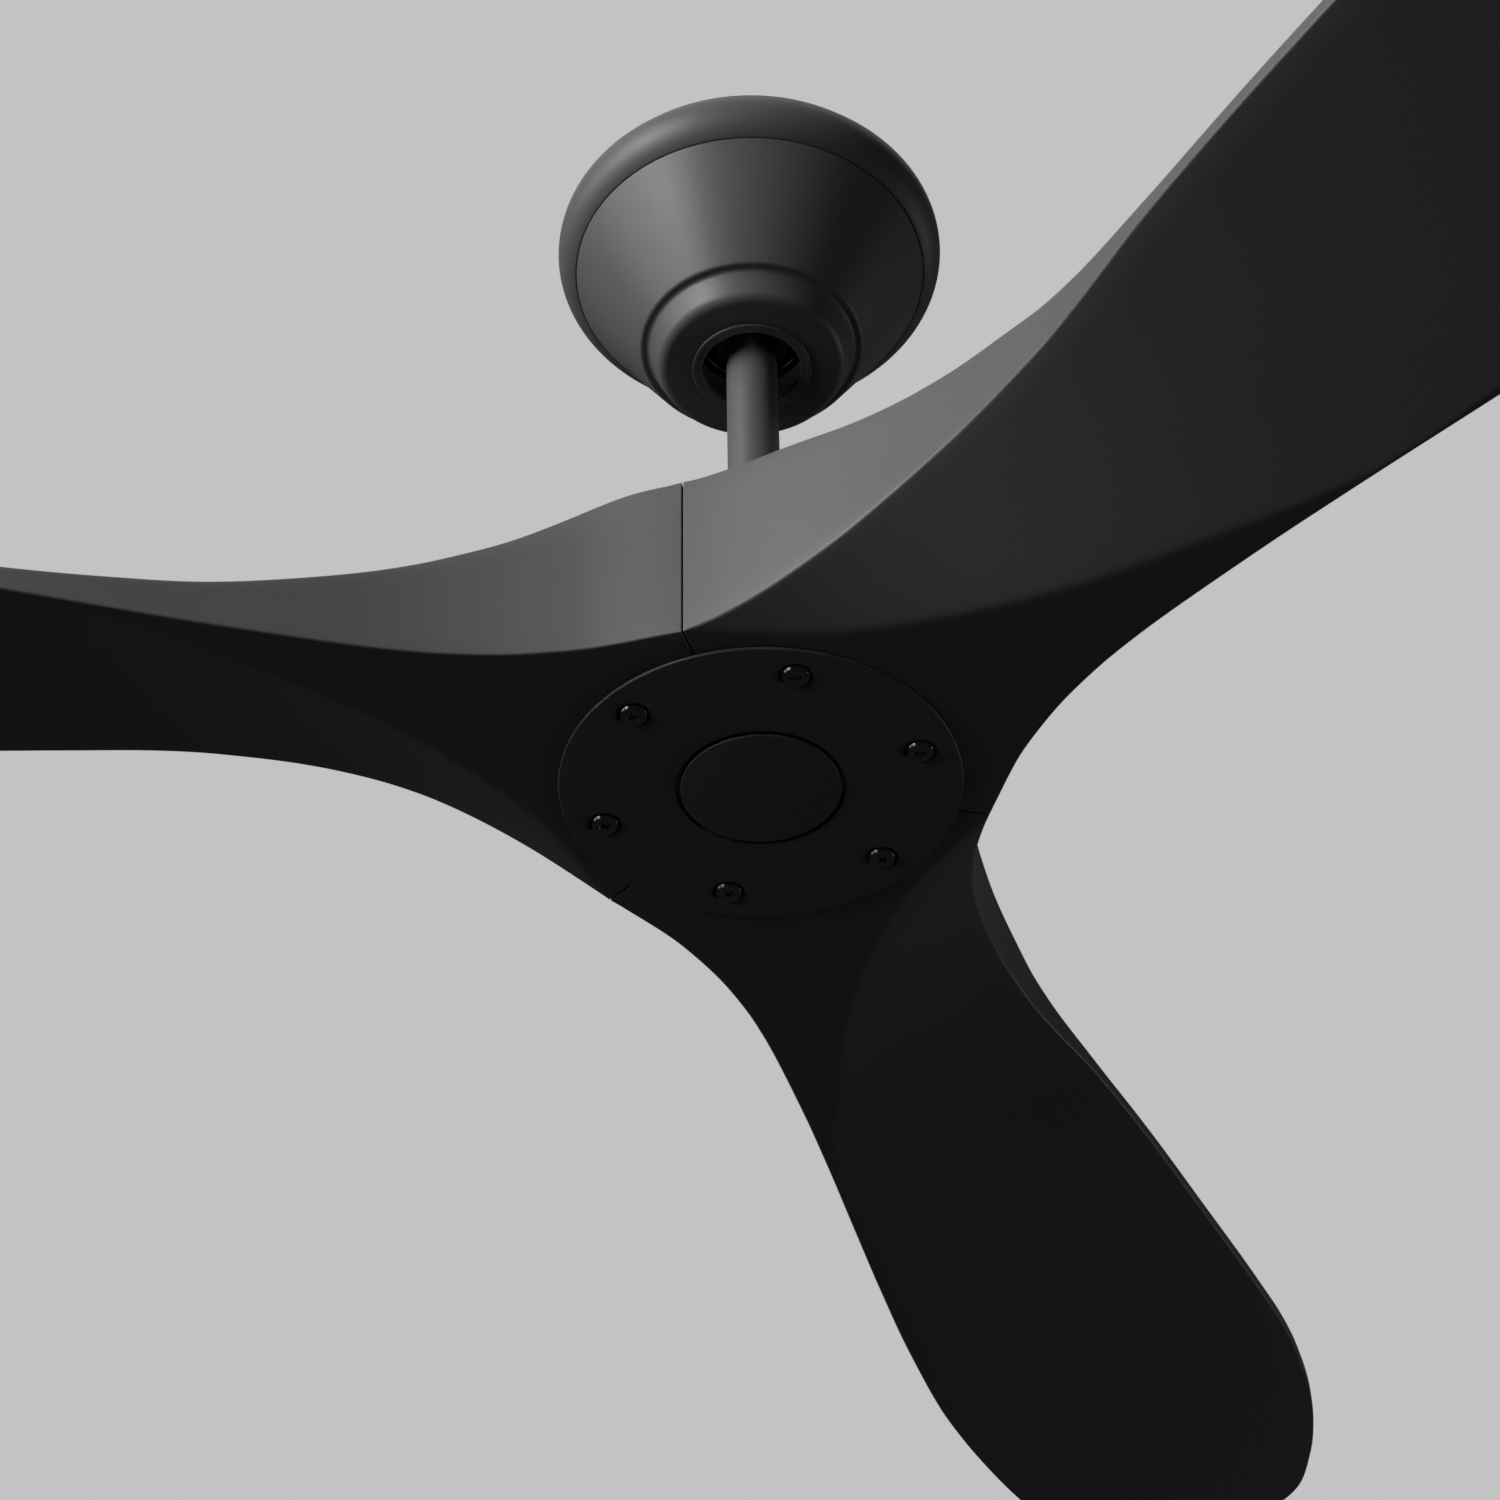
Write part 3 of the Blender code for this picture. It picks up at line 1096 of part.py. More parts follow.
def bracket_cutters():
    """Make the bracket's cutters: ball seat, rod entry, box screw slots, wire notches, ear holes."""
    half_angle = math.pi / ROUND_SIDES
    seat = (BALL_RADIUS + FIT_GAP) / math.cos(half_angle)
    low = -BOWL_BOTTOM - OVERRUN
    profile = [(0.0, low)] + sphere_points(seat, low, 0.0, BOWL_RINGS * 2) + [(0.0, 0.0)]
    space = turned("ball_space_tool", profile, None)
    space.data.transform(Matrix.Rotation(half_angle, 4, "Z"))
    space.matrix_world = Matrix.Translation((0.0, 0.0, BALL_Z))
    reach = BALL_RADIUS + BOWL_WALL + OVERRUN
    entry = block("entry_tool", (-BOWL_SLOT / 2.0, -reach, BALL_Z - BOWL_BOTTOM - OVERRUN),
                  (BOWL_SLOT / 2.0, 0.0, BALL_Z), None)
    tools = [space, entry]
    for side, label in ((-1.0, "left"), (1.0, "right")):
        half_long, half_wide = BOX_SLOT_LENGTH / 2.0, BOX_SLOT_WIDTH / 2.0
        middle = side * BOX_SCREW_X
        tools.append(block("box_slot_tool_" + label,
                           (middle - half_long, -half_wide, -BRACKET_THICKNESS - OVERRUN),
                           (middle + half_long, half_wide, OVERRUN), None))
        notch = cylinder("wire_notch_tool_" + label, WIRE_NOTCH_RADIUS, -BRACKET_THICKNESS - OVERRUN,
                         OVERRUN)
        notch.matrix_world = Matrix.Translation((0.0, side * BRACKET_WIDTH / 2.0, 0.0))
        tools.append(notch)
        hole = cylinder("ear_hole_tool_" + label, CANOPY_SCREW_RADIUS + FIT_GAP,
                        TONGUE_HALF - BRACKET_THICKNESS - OVERRUN, TONGUE_HALF + OVERRUN)
        tools.append(lay(hole, (side, 0.0, 0.0), (0.0, 0.0, -CANOPY_SCREW_Z)))
    return tools


def make_bracket_screws(root, finish):
    """Make the two machine screws that hold the bracket to the outlet box."""
    for index, side in enumerate((-1.0, 1.0)):
        screw = pan_screw("bracket_screw_%d" % (index + 1), BOX_SCREW_HEAD, BOX_SCREW_HEAD_HEIGHT,
                          BOX_SCREW_RADIUS, BOX_SCREW_LENGTH, finish)
        height = -BRACKET_THICKNESS - FIT_GAP
        screw.matrix_world = Matrix.Translation((side * BOX_SCREW_X, 0.0, height))
        hang(root, screw)


def make_canopy_screws(root, finish):
    """Make the two screws in the bracket's ears, on which the canopy's open slots hang."""
    for index, side in enumerate((-1.0, 1.0)):
        screw = pan_screw("canopy_screw_%d" % (index + 1), CANOPY_SCREW_HEAD, CANOPY_SCREW_HEAD_HEIGHT,
                          CANOPY_SCREW_RADIUS, CANOPY_SCREW_LENGTH, finish)
        place = (side * (SKIRT_RADIUS + FIT_GAP), 0.0, -CANOPY_SCREW_Z)
        hang(root, lay(screw, (-side, 0.0, 0.0), place))


def make_receiver(root, case_finish, board_finish):
    """Make the remote receiver under the bracket's strap: tray, lid and circuit board."""
    top = -BRACKET_THICKNESS - FIT_GAP
    bottom = top - RECEIVER_HEIGHT
    half_long, half_wide = RECEIVER_LENGTH / 2.0, RECEIVER_WIDTH / 2.0
    wall = RECEIVER_WALL
    split = top - RECEIVER_LID
    tray = block("receiver_tray", (-half_long, -half_wide, bottom), (half_long, half_wide, split - FIT_GAP),
                 case_finish)
    inside = block("tray_tool", (-half_long + wall, -half_wide + wall, bottom + wall),
                   (half_long - wall, half_wide - wall, top), None)
    lid = block("receiver_lid", (-half_long, -half_wide, split), (half_long, half_wide, top), case_finish)
    step = wall + FIT_GAP
    low = bottom + wall + FIT_GAP
    board = block("receiver_board", (-half_long + step, -half_wide + step, low),
                  (half_long - step, half_wide - step, low + BOARD_THICKNESS), board_finish)
    cut(tray, inside)
    hang(root, tray, inside, lid, board)


def bead_centre():
    """Place the centre of the bead's rounding so that its leaning flank ends at BEAD_RADIUS."""
    lean = math.radians(BEAD_LEAN_DEG)
    flank = CONE_RISE - BEAD_ROUND * (1.0 - math.sin(lean))
    return BEAD_RADIUS - flank * math.tan(lean) - BEAD_ROUND * math.cos(lean), BEAD_ROUND - CANOPY_BOTTOM


def canopy_outer():
    """List the canopy's outer outline from the hole in its floor up to the skirt's top edge."""
    rise = CONE_RISE - CANOPY_BOTTOM
    points = arc_points(bead_centre(), BEAD_ROUND, -90.0, -BEAD_LEAN_DEG, BEAD_STEPS)
    points += [(BEAD_RADIUS, rise), (CONE_RADIUS, rise), (SKIRT_RADIUS, -SEAM_DROP)]
    return points + [(SKIRT_RADIUS, -CANOPY_TOP)]


def canopy_inner():
    """List the canopy's inner outline from the skirt's top edge down to the bead."""
    wall = CANOPY_WALL
    cone_run, cone_rise = SKIRT_RADIUS - CONE_RADIUS, CANOPY_BOTTOM - CONE_RISE - SEAM_DROP
    inset = wall * math.hypot(cone_run, cone_rise) / cone_rise
    lift = (inset - wall) * cone_rise / cone_run
    knee_height = CONE_RISE + wall - CANOPY_BOTTOM
    points = [(SKIRT_RADIUS - wall, -CANOPY_TOP), (SKIRT_RADIUS - wall, -SEAM_DROP + lift)]
    points += [(CONE_RADIUS - inset + wall * cone_run / cone_rise, knee_height)]
    points += [(BEAD_RADIUS - wall, knee_height)]
    return points + arc_points(bead_centre(), BEAD_ROUND - wall, -BEAD_LEAN_DEG, -90.0, BEAD_STEPS)


def make_canopy(slide, finish):
    """Make the canopy shell, with a slot open at the top for each canopy screw."""
    floor = -CANOPY_BOTTOM
    wall = CANOPY_WALL
    hole = GROMMET_NECK + FIT_GAP
    outline = [(hole, floor)] + canopy_outer() + canopy_inner() + [(hole, floor + wall)]
    canopy = turned("canopy", outline, finish, WIDE_SIDES)
    tools = []
    for side, label in ((-1.0, "left"), (1.0, "right")):
        near, far = side * (SKIRT_RADIUS - wall - OVERRUN), side * (SKIRT_RADIUS + OVERRUN)
        half = CANOPY_SLOT_WIDTH / 2.0
        tools.append(block("canopy_slot_tool_" + label,
                           (min(near, far), -half, -CANOPY_SCREW_Z - half),
                           (max(near, far), half, OVERRUN), None))
    cut(canopy, *tools)
    hang(slide, canopy, *tools)


def make_grommet(slide, finish):
    """Make the ring that lines the hole in the canopy's floor."""
    floor = -CANOPY_BOTTOM
    low = floor - FIT_GAP - GROMMET_PROUD
    inside = floor + CANOPY_WALL + FIT_GAP
    ease = GROMMET_PROUD / 2.0
    grommet = turned("canopy_grommet", ((GROMMET_BORE, low), (GROMMET_OUT - ease, low),
                     (GROMMET_OUT, low + ease), (GROMMET_OUT, floor - FIT_GAP),
                     (GROMMET_NECK, floor - FIT_GAP), (GROMMET_NECK, inside), (GROMMET_CLIP, inside),
                     (GROMMET_BORE, inside + GROMMET_CLIP_HEIGHT)), finish, WIDE_SIDES)
    hang(slide, grommet)


def make_trim_ring(ring_slide, finish):
    """Make the half-round ring that hides the canopy's screws."""
    lip = SKIRT_RADIUS + FIT_GAP
    reach = RING_ROUND * RING_SPAN_SHARE
    start = -math.degrees(math.asin(RING_SPAN_SHARE))
    centre = (lip - math.sqrt(RING_ROUND ** 2 - reach ** 2), -SEAM_DROP + FIT_GAP + reach)
    inner_round = RING_ROUND - RING_WALL
    low = -math.degrees(math.acos((lip - centre[0]) / inner_round))
    outer = arc_points(centre, RING_ROUND, start, RING_END_DEG, RING_STEPS)
    inner = arc_points(centre, inner_round, RING_END_DEG, low, RING_STEPS)
    rim = [(outer[-1][0], -RING_TOP), (inner[0][0], -RING_TOP)]
    hang(ring_slide, turned("canopy_trim_ring", outer + rim + inner, finish, WIDE_SIDES))


def main():
    """Build the fan, one group of pieces after another."""
    clear_scene()
    black = paint("satin_black", (0.088, 0.088, 0.088), 0.42, 0.0)
    shell = paint("blade_black", (0.09, 0.09, 0.09), 0.45, 0.0)
    dark = paint("dark_steel", (0.042, 0.042, 0.042), 0.42, 0.4)
    screws = paint("screw_black", (0.012, 0.012, 0.012), 0.2, 0.0)
    rubber = paint("grommet_rubber", (0.078, 0.078, 0.078), 0.5, 0.0)
    zinc = paint("zinc_steel", (0.58, 0.58, 0.6), 0.4, 1.0)
    alloy = paint("cast_alloy", (0.62, 0.62, 0.63), 0.45, 1.0)
    polished = paint("bearing_steel", (0.7, 0.7, 0.72), 0.2, 1.0)
    core = paint("core_steel", (0.3, 0.3, 0.32), 0.5, 1.0)
    copper = paint("winding_copper", (0.72, 0.3, 0.14), 0.35, 1.0)
    ferrite = paint("ferrite", (0.05, 0.05, 0.055), 0.6, 0.0)
    plastic = paint("black_plastic", (0.036, 0.036, 0.036), 0.4, 0.0)
    green = paint("board_green", (0.02, 0.18, 0.06), 0.5, 0.0)

    root = pivot("ceiling_side", (0.0, 0.0, 0.0))
    slide = pivot("canopy_slide_axis", (0.0, 0.0, 0.0))
    ring_slide = pivot("ring_slide_axis", (0.0, 0.0, 0.0))
    still = pivot("tilt_pivot", (0.0, 0.0, BALL_Z))
    axis = pivot("spin_axis", (0.0, 0.0, PLATE_Z))

    make_bracket(root, dark)
    make_bracket_screws(root, zinc)
    make_canopy_screws(root, screws)
    make_receiver(root, plastic, green)
    make_canopy(slide, black)
    make_grommet(slide, rubber)
    make_trim_ring(ring_slide, black)
    make_ball(still, plastic, zinc)
    make_downrod(still, black)
    make_lead(still, rubber)
    make_coupling(still, zinc)
    make_coupling_fasteners(still, zinc)
    make_coupling_cover(still, black)
    make_shaft(still, polished)
    make_circlip(still, dark)
    make_stator(still, core, copper)
    make_bearings(still, axis, polished)
    make_rotor_base(axis, alloy)
    make_rotor_lid(axis, alloy)
    make_rotor_screws(axis, zinc)
    make_magnets(axis, ferrite)
    make_top_cover(axis, black)
    make_blades(axis, shell)
    make_plate(axis, black)
    make_blade_screws(axis, screws)
    make_cap(axis, black)


main()
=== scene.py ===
"""Looks of a satin black three-blade ceiling fan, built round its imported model.

Metres, +Z up, origin on the ceiling plane. Heights of the hub are counted from the underside of
the blade plate, heights of the canopy from the ceiling.
"""
import logging
import math
from dataclasses import dataclass
from enum import Enum
from typing import Any, Iterable, Sequence

import bmesh
import bpy
import numpy as np
from mathutils import Matrix, Vector


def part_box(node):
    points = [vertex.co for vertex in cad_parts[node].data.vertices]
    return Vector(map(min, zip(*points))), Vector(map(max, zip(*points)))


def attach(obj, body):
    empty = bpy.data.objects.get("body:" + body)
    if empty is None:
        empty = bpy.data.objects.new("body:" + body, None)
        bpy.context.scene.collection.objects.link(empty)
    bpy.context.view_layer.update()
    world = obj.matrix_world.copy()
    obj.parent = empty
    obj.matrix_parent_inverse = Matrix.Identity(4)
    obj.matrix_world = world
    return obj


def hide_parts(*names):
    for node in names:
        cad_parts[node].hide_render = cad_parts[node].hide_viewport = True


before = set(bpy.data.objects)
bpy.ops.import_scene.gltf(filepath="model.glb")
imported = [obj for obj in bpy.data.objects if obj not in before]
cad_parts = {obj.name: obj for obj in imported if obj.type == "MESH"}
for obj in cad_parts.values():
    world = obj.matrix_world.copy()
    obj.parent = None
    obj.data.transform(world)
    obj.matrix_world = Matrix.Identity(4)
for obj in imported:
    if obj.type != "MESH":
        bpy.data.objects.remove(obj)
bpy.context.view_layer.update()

LOG = logging.getLogger("ceiling_fan")
Array = np.ndarray

PLATE_Z = -0.3195
BLADE_COUNT = 3
FIRST_BLADE = math.radians(72.44)
SCREW_CIRCLE = 0.0615
SCREW_SIDES = (-30.0, 30.0)
SCREW_HOLE = 0.0028
GAP = 0.0003
OVERCUT = 0.002
CORNER_STEPS = 5
WHITE = (1.0, 1.0, 1.0, 1.0)


class Signal:
    """A value that runs through a material's nodes and takes part in Python expressions."""

    def __init__(self, graph: "Graph", socket: bpy.types.NodeSocket) -> None:
        """Wrap one output socket."""
        self.graph = graph
        self.socket = socket

    def _math(self, operation: str, other: "Signal | float", turned: bool = False) -> "Signal":
        """Add a Math node.

        Args:
            operation: The Math node's operation.
            other: The second value.
            turned: True if the second value comes first.

        Returns:
            The node's result.
        """
        values = (other, self) if turned else (self, other)
        node = self.graph.node("ShaderNodeMath", {"operation": operation}, dict(enumerate(values)))
        return Signal(self.graph, node.outputs[0])

    def __add__(self, other: "Signal | float") -> "Signal":
        """Add a value."""
        return self._math("ADD", other)

    __radd__ = __add__

    def __sub__(self, other: "Signal | float") -> "Signal":
        """Take a value away."""
        return self._math("SUBTRACT", other)

    def __rsub__(self, other: "Signal | float") -> "Signal":
        """Take this from a value."""
        return self._math("SUBTRACT", other, True)

    def __mul__(self, other: "Signal | float") -> "Signal":
        """Multiply by a value."""
        return self._math("MULTIPLY", other)

    __rmul__ = __mul__

    def clamped(self) -> "Signal":
        """Keep the value between 0 and 1."""
        node = self.graph.node("ShaderNodeClamp", {}, {"Value": self})
        return Signal(self.graph, node.outputs[0])


class Graph:
    """A material's node tree."""

    def __init__(self, name: str, owner: bpy.types.ID | None = None) -> None:
        """Start an empty material, or empty the nodes of a world.

        Args:
            name: The material's name.
            owner: The world to fill instead of a new material.
        """
        self.material = owner or bpy.data.materials.new(name)
        self.material.use_nodes = True
        self.tree = self.material.node_tree
        self.tree.nodes.clear()

    def node(self, kind: str, settings: dict[str, Any] | None = None,
             inputs: dict[Any, Any] | None = None) -> bpy.types.Node:
        """Add a node.

        Args:
            kind: The node's type.
            settings: Its properties, which are set first.
            inputs: Values or links of its sockets, by name or number.

        Returns:
            The new node.
        """
        made = self.tree.nodes.new(kind)
        for name, value in (settings or {}).items():
            setattr(made, name, value)
        for name, value in (inputs or {}).items():
            value = value.socket if isinstance(value, Signal) else value
            if isinstance(value, bpy.types.NodeSocket):
                self.tree.links.new(value, made.inputs[name])
            else:
                made.inputs[name].default_value = value
        return made

    def place(self) -> bpy.types.NodeSocket:
        """Give the surface point in the object's own coordinates."""
        return self.node("ShaderNodeTexCoord").outputs["Object"]

    def noise(self, scale: float, detail: float = 2.0) -> Signal:
        """Add a noise pattern.

        Args:
            scale: Features per metre.
            detail: Octaves of finer noise.

        Returns:
            The noise, from 0 to 1.
        """
        made = self.node("ShaderNodeTexNoise", {}, {"Vector": self.place(), "Scale": scale, "Detail": detail})
        return Signal(self, made.outputs[0])

    def blend(self, share: Signal, first: Sequence[float], second: Sequence[float]) -> bpy.types.NodeSocket:
        """Mix two colours.

        Args:
            share: 0 for the first colour, 1 for the second.
            first: A colour of three numbers.
            second: A colour of three numbers.

        Returns:
            The mixed colour.
        """
        made = self.node("ShaderNodeMix", {"data_type": "RGBA"}, {0: share})
        for socket, colour in ((made.inputs[6], first), (made.inputs[7], second)):
            socket.default_value = (*colour, 1.0)
        return made.outputs[2]

    def edge(self) -> Signal:
        """Read how far each point lies on an outer edge, from 0 to 1."""
        made = self.node("ShaderNodeAttribute", {"attribute_name": "edge"})
        return Signal(self, made.outputs["Fac"])


class Pattern(Enum):
    """The fine relief that a finish carries."""

    COATED = "powder coat's fine orange peel"
    CAST = "coarse cast skin"
    TURNED = "rings left by a lathe"
    STACKED = "thin sheets stacked upwards"
    WOUND = "turns of wire round a tooth"
    MOULDED = "faint moulded grain"


@dataclass(frozen=True)
class Finish:
    """One surface finish, with how its colour, gloss and relief vary."""

    name: str
    colour: tuple[float, float, float]
    shift: tuple[float, float, float]
    roughness: float
    metallic: float = 0.0
    pattern: Pattern = Pattern.COATED
    grain: float = 1400.0
    relief: float = 0.00002
    patchiness: float = 0.06
    specular: float = 0.5
    coat: float = 0.0

    def _height(self, graph: Graph) -> Signal:
        """Work out the relief.

        Args:
            graph: The material's nodes.

        Returns:
            The height of the relief, about 0 to 1.
        """
        if self.pattern in (Pattern.STACKED, Pattern.TURNED, Pattern.WOUND):
            wave = graph.node("ShaderNodeTexWave", {"wave_type": "BANDS", "bands_direction": "Z"},
                              {"Vector": graph.place(), "Scale": self.grain, "Distortion": 0.15})
            bands_share, grit_scale = 0.8, 900.0
            return (Signal(graph, wave.outputs["Fac"]) * bands_share
                    + graph.noise(grit_scale) * (1.0 - bands_share))
        fine_share, coarse_ratio = 0.7, 0.31
        return (graph.noise(self.grain, 3.0) * fine_share
                + graph.noise(self.grain * coarse_ratio, 2.0) * (1.0 - fine_share))

    def material(self) -> bpy.types.Material:
        """Build the material: specks, soft patches and worn edges vary its colour and its gloss.

        Returns:
            The finished material.
        """
        patch_scale, wear_scale, speck_ratio = 14.0, 160.0, 1.3
        speck_tone, patch_tone, wear_tone, plain_tone, wear_base = 1.4, 0.8, 0.8, 0.35, 0.35
        speck_gloss, patch_gloss, wear_gloss = self.patchiness * 0.8, self.patchiness * 2.0, 0.08
        graph = Graph(self.name)
        patches = graph.noise(patch_scale, 3.0)
        specks = graph.noise(self.grain * speck_ratio, 2.0)
        worn = (graph.edge() * (wear_base + graph.noise(wear_scale, 2.0))).clamped()
        share = ((specks - 0.5) * speck_tone + (patches - 0.5) * patch_tone + plain_tone
                 + worn * wear_tone).clamped()
        gloss = (self.roughness + (patches - 0.5) * patch_gloss
                 + (specks - 0.5) * speck_gloss - worn * wear_gloss)
        bump = graph.node("ShaderNodeBump", {}, {"Height": self._height(graph), "Distance": self.relief,
                                                 "Strength": 1.0})
        shader = graph.node("ShaderNodeBsdfPrincipled", {}, {
            "Base Color": graph.blend(share, self.colour, self.shift), "Metallic": self.metallic,
            "Roughness": gloss.clamped(), "Normal": bump.outputs[0], "Specular IOR Level": self.specular,
            "Coat Weight": self.coat, "Coat Roughness": 0.12})
        graph.node("ShaderNodeOutputMaterial", {}, {"Surface": shader.outputs[0]})
        return graph.material


SATIN = Finish("satin_black", (0.080, 0.080, 0.081), (0.098, 0.098, 0.100), 0.48, specular=0.40)
BLADE = Finish("blade_black", (0.080, 0.080, 0.081), (0.100, 0.100, 0.102), 0.48, grain=1100.0, specular=0.40)
# Painted shade: a near-black finish that stands for the shade inside the canopy shell.
INSIDE_SHADE = Finish("painted_inside_shade", (0.007, 0.007, 0.007), (0.012, 0.012, 0.012), 0.80, specular=0.0)
SCREW = Finish("screw_black", (0.003, 0.003, 0.003), (0.007, 0.007, 0.007), 0.16, 0.0, Pattern.MOULDED,
               relief=0.000004, patchiness=0.03, coat=0.6)
RUBBER = Finish("grommet_rubber", (0.072, 0.072, 0.072), (0.088, 0.088, 0.087), 0.42, 0.0,
                Pattern.MOULDED, grain=700.0)
STEEL = Finish("dark_steel", (0.030, 0.030, 0.031), (0.055, 0.054, 0.053), 0.42, 0.4, Pattern.MOULDED)
ZINC = Finish("zinc_steel", (0.50, 0.51, 0.53), (0.66, 0.65, 0.60), 0.34, 1.0, Pattern.MOULDED,
              grain=500.0, relief=0.00001, patchiness=0.09)
ALLOY = Finish("cast_alloy", (0.52, 0.52, 0.53), (0.66, 0.66, 0.67), 0.46, 1.0, Pattern.CAST,
               grain=420.0, relief=0.00006, patchiness=0.08)
BEARING = Finish("bearing_steel", (0.62, 0.62, 0.64), (0.74, 0.74, 0.75), 0.18, 1.0, Pattern.TURNED,
                 grain=600.0, relief=0.000004, patchiness=0.04)
CORE = Finish("core_steel", (0.20, 0.20, 0.215), (0.34, 0.34, 0.36), 0.45, 1.0, Pattern.STACKED,
              grain=630.0, relief=0.00009)
COPPER = Finish("winding_copper", (0.60, 0.22, 0.09), (0.80, 0.36, 0.17), 0.30, 1.0, Pattern.WOUND,
                grain=350.0, relief=0.0002, coat=0.4)
FERRITE = Finish("ferrite", (0.040, 0.040, 0.043), (0.062, 0.062, 0.066), 0.62, 0.0, Pattern.CAST,
                 grain=600.0, relief=0.00004)
PLASTIC = Finish("black_plastic", (0.030, 0.030, 0.030), (0.042, 0.042, 0.042), 0.40, 0.0, Pattern.MOULDED,
                 grain=800.0)
BOARD = Finish("board_green", (0.015, 0.14, 0.045), (0.03, 0.22, 0.08), 0.35, 0.0, Pattern.MOULDED,
               grain=300.0, coat=0.3)


class Paints:
    """The fan's materials, each made once."""

    def __init__(self) -> None:
        """Start with no material made."""
        self._made: dict[str, bpy.types.Material] = {}

    def get(self, finish: Finish) -> bpy.types.Material:
        """Give a finish's material, and make it on first use."""
        if finish.name not in self._made:
            self._made[finish.name] = finish.material()
        return self._made[finish.name]

    def dress(self, finish: Finish, nodes: Iterable[str]) -> None:
        """Paint CAD nodes.

        Args:
            finish: The finish.
            nodes: The nodes' names.
        """
        for name in nodes:
            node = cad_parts[name]
            if node.material_slots:
                node.material_slots[0].material = self.get(finish)
            else:
                node.data.materials.append(self.get(finish))
            LOG.info("dressed %s in %s", name, finish.name)


PAINTS = Paints()


def soften(outline: Sequence[Sequence[float]], radii: Sequence[float]) -> Array:
    """Round the corners of a closed outline.

    Each corner P becomes the curve (1-q)^2 A + 2q(1-q) P + q^2 B, where A and B lie on its two
    sides at the radius times the tangent of half the turn, or less on a short side.

    Args:
        outline: The corners, in order.
        radii: One radius for each corner.

    Returns:
        The rounded outline's points.
    """
    points = np.asarray(outline, float)
    before, after = np.roll(points, 1, 0) - points, np.roll(points, -1, 0) - points
    reach_before = np.linalg.norm(before, axis=1, keepdims=True)
    reach_after = np.linalg.norm(after, axis=1, keepdims=True)
    unit_before, unit_after = before / reach_before, after / reach_after
    inner = np.clip((unit_before * unit_after).sum(1, keepdims=True), -0.9999, 0.9999)
    half_turn = (math.pi - np.arccos(inner)) / 2.0
    wanted = np.asarray(radii, float)[:, None] * np.tan(half_turn)
    cut = np.minimum(wanted, 0.45 * np.minimum(reach_before, reach_after))[:, None]
    q = np.linspace(0.0, 1.0, CORNER_STEPS + 1)[None, :, None]
    start = points[:, None] + unit_before[:, None] * cut
    end = points[:, None] + unit_after[:, None] * cut
    curve = (1.0 - q) ** 2 * start + 2.0 * q * (1.0 - q) * points[:, None] + q ** 2 * end
    curve = curve.reshape(-1, points.shape[1])
    moved = np.linalg.norm(curve - np.roll(curve, 1, 0), axis=1) > 1e-7
    return curve[moved]


def arc(centre: Sequence[float], radius: float, start: float, end: float,
        steps: int) -> list[tuple[float, float]]:
    """List points on an arc: the centre plus the radius times (cos, sin) of an even run of angles.

    Args:
        centre: The arc's centre.
        radius: Its radius.
        start: First angle in degrees.
        end: Last angle in degrees.
        steps: Pieces of the arc.

    Returns:
        The arc's points, ends included.
    """
    turn = np.radians(np.linspace(start, end, steps + 1))
    return [(centre[0] + radius * c, centre[1] + radius * s) for c, s in zip(np.cos(turn), np.sin(turn))]


def grid_quads(rows: int, columns: int, wrap_rows: bool) -> Array:
    """Index the quads of a grid whose columns close on themselves.

    Args:
        rows: Number of rings.
        columns: Points in each ring.
        wrap_rows: True if the last ring joins the first.

    Returns:
        Four vertex numbers for each quad.
    """
    row = np.arange(rows if wrap_rows else rows - 1)[:, None]
    column = np.arange(columns)[None, :]
    next_row, next_column = (row + 1) % rows, (column + 1) % columns
    corners = (row * columns + column, row * columns + next_column,
               next_row * columns + next_column, next_row * columns + column)
    return np.stack([corner.ravel() for corner in corners], axis=1)


def revolve(profile: Array, sides: int) -> tuple[Array, Array]:
    """Turn a closed (radius, height) outline about Z: point (r cos t, r sin t, h) for each angle t.

    Args:
        profile: The outline's points.
        sides: Steps round the axis.

    Returns:
        Vertices and quads.
    """
    turn = np.arange(sides) * (2.0 * math.pi / sides)
    points = np.empty((sides, len(profile), 3))
    points[..., 0] = np.cos(turn)[:, None] * profile[None, :, 0]
    points[..., 1] = np.sin(turn)[:, None] * profile[None, :, 0]
    points[..., 2] = profile[None, :, 1]
    return points.reshape(-1, 3), grid_quads(sides, len(profile), True)


def make_mesh(name: str, points: Array, faces: Any, sharp: float = 35.0) -> bpy.types.Object:
    """Put points and faces into a clean closed mesh whose faces point outwards.

    Args:
        name: The object's name.
        points: Vertices.
        faces: Vertex numbers of each face.
        sharp: Angle in degrees over which an edge stays sharp.

    Returns:
        The new object.
    """
    mesh = bpy.data.meshes.new(name)
    mesh.from_pydata(np.asarray(points).tolist(), [], [list(map(int, face)) for face in faces])
    bm = bmesh.new()
    bm.from_mesh(mesh)
    bmesh.ops.remove_doubles(bm, verts=bm.verts, dist=1e-6)
    bmesh.ops.recalc_face_normals(bm, faces=bm.faces)
    bm.to_mesh(mesh)
    bm.free()
    mesh.shade_smooth()
    mesh.set_sharp_from_angle(angle=math.radians(sharp))
    item = bpy.data.objects.new(name, mesh)
    bpy.context.scene.collection.objects.link(item)
    return item


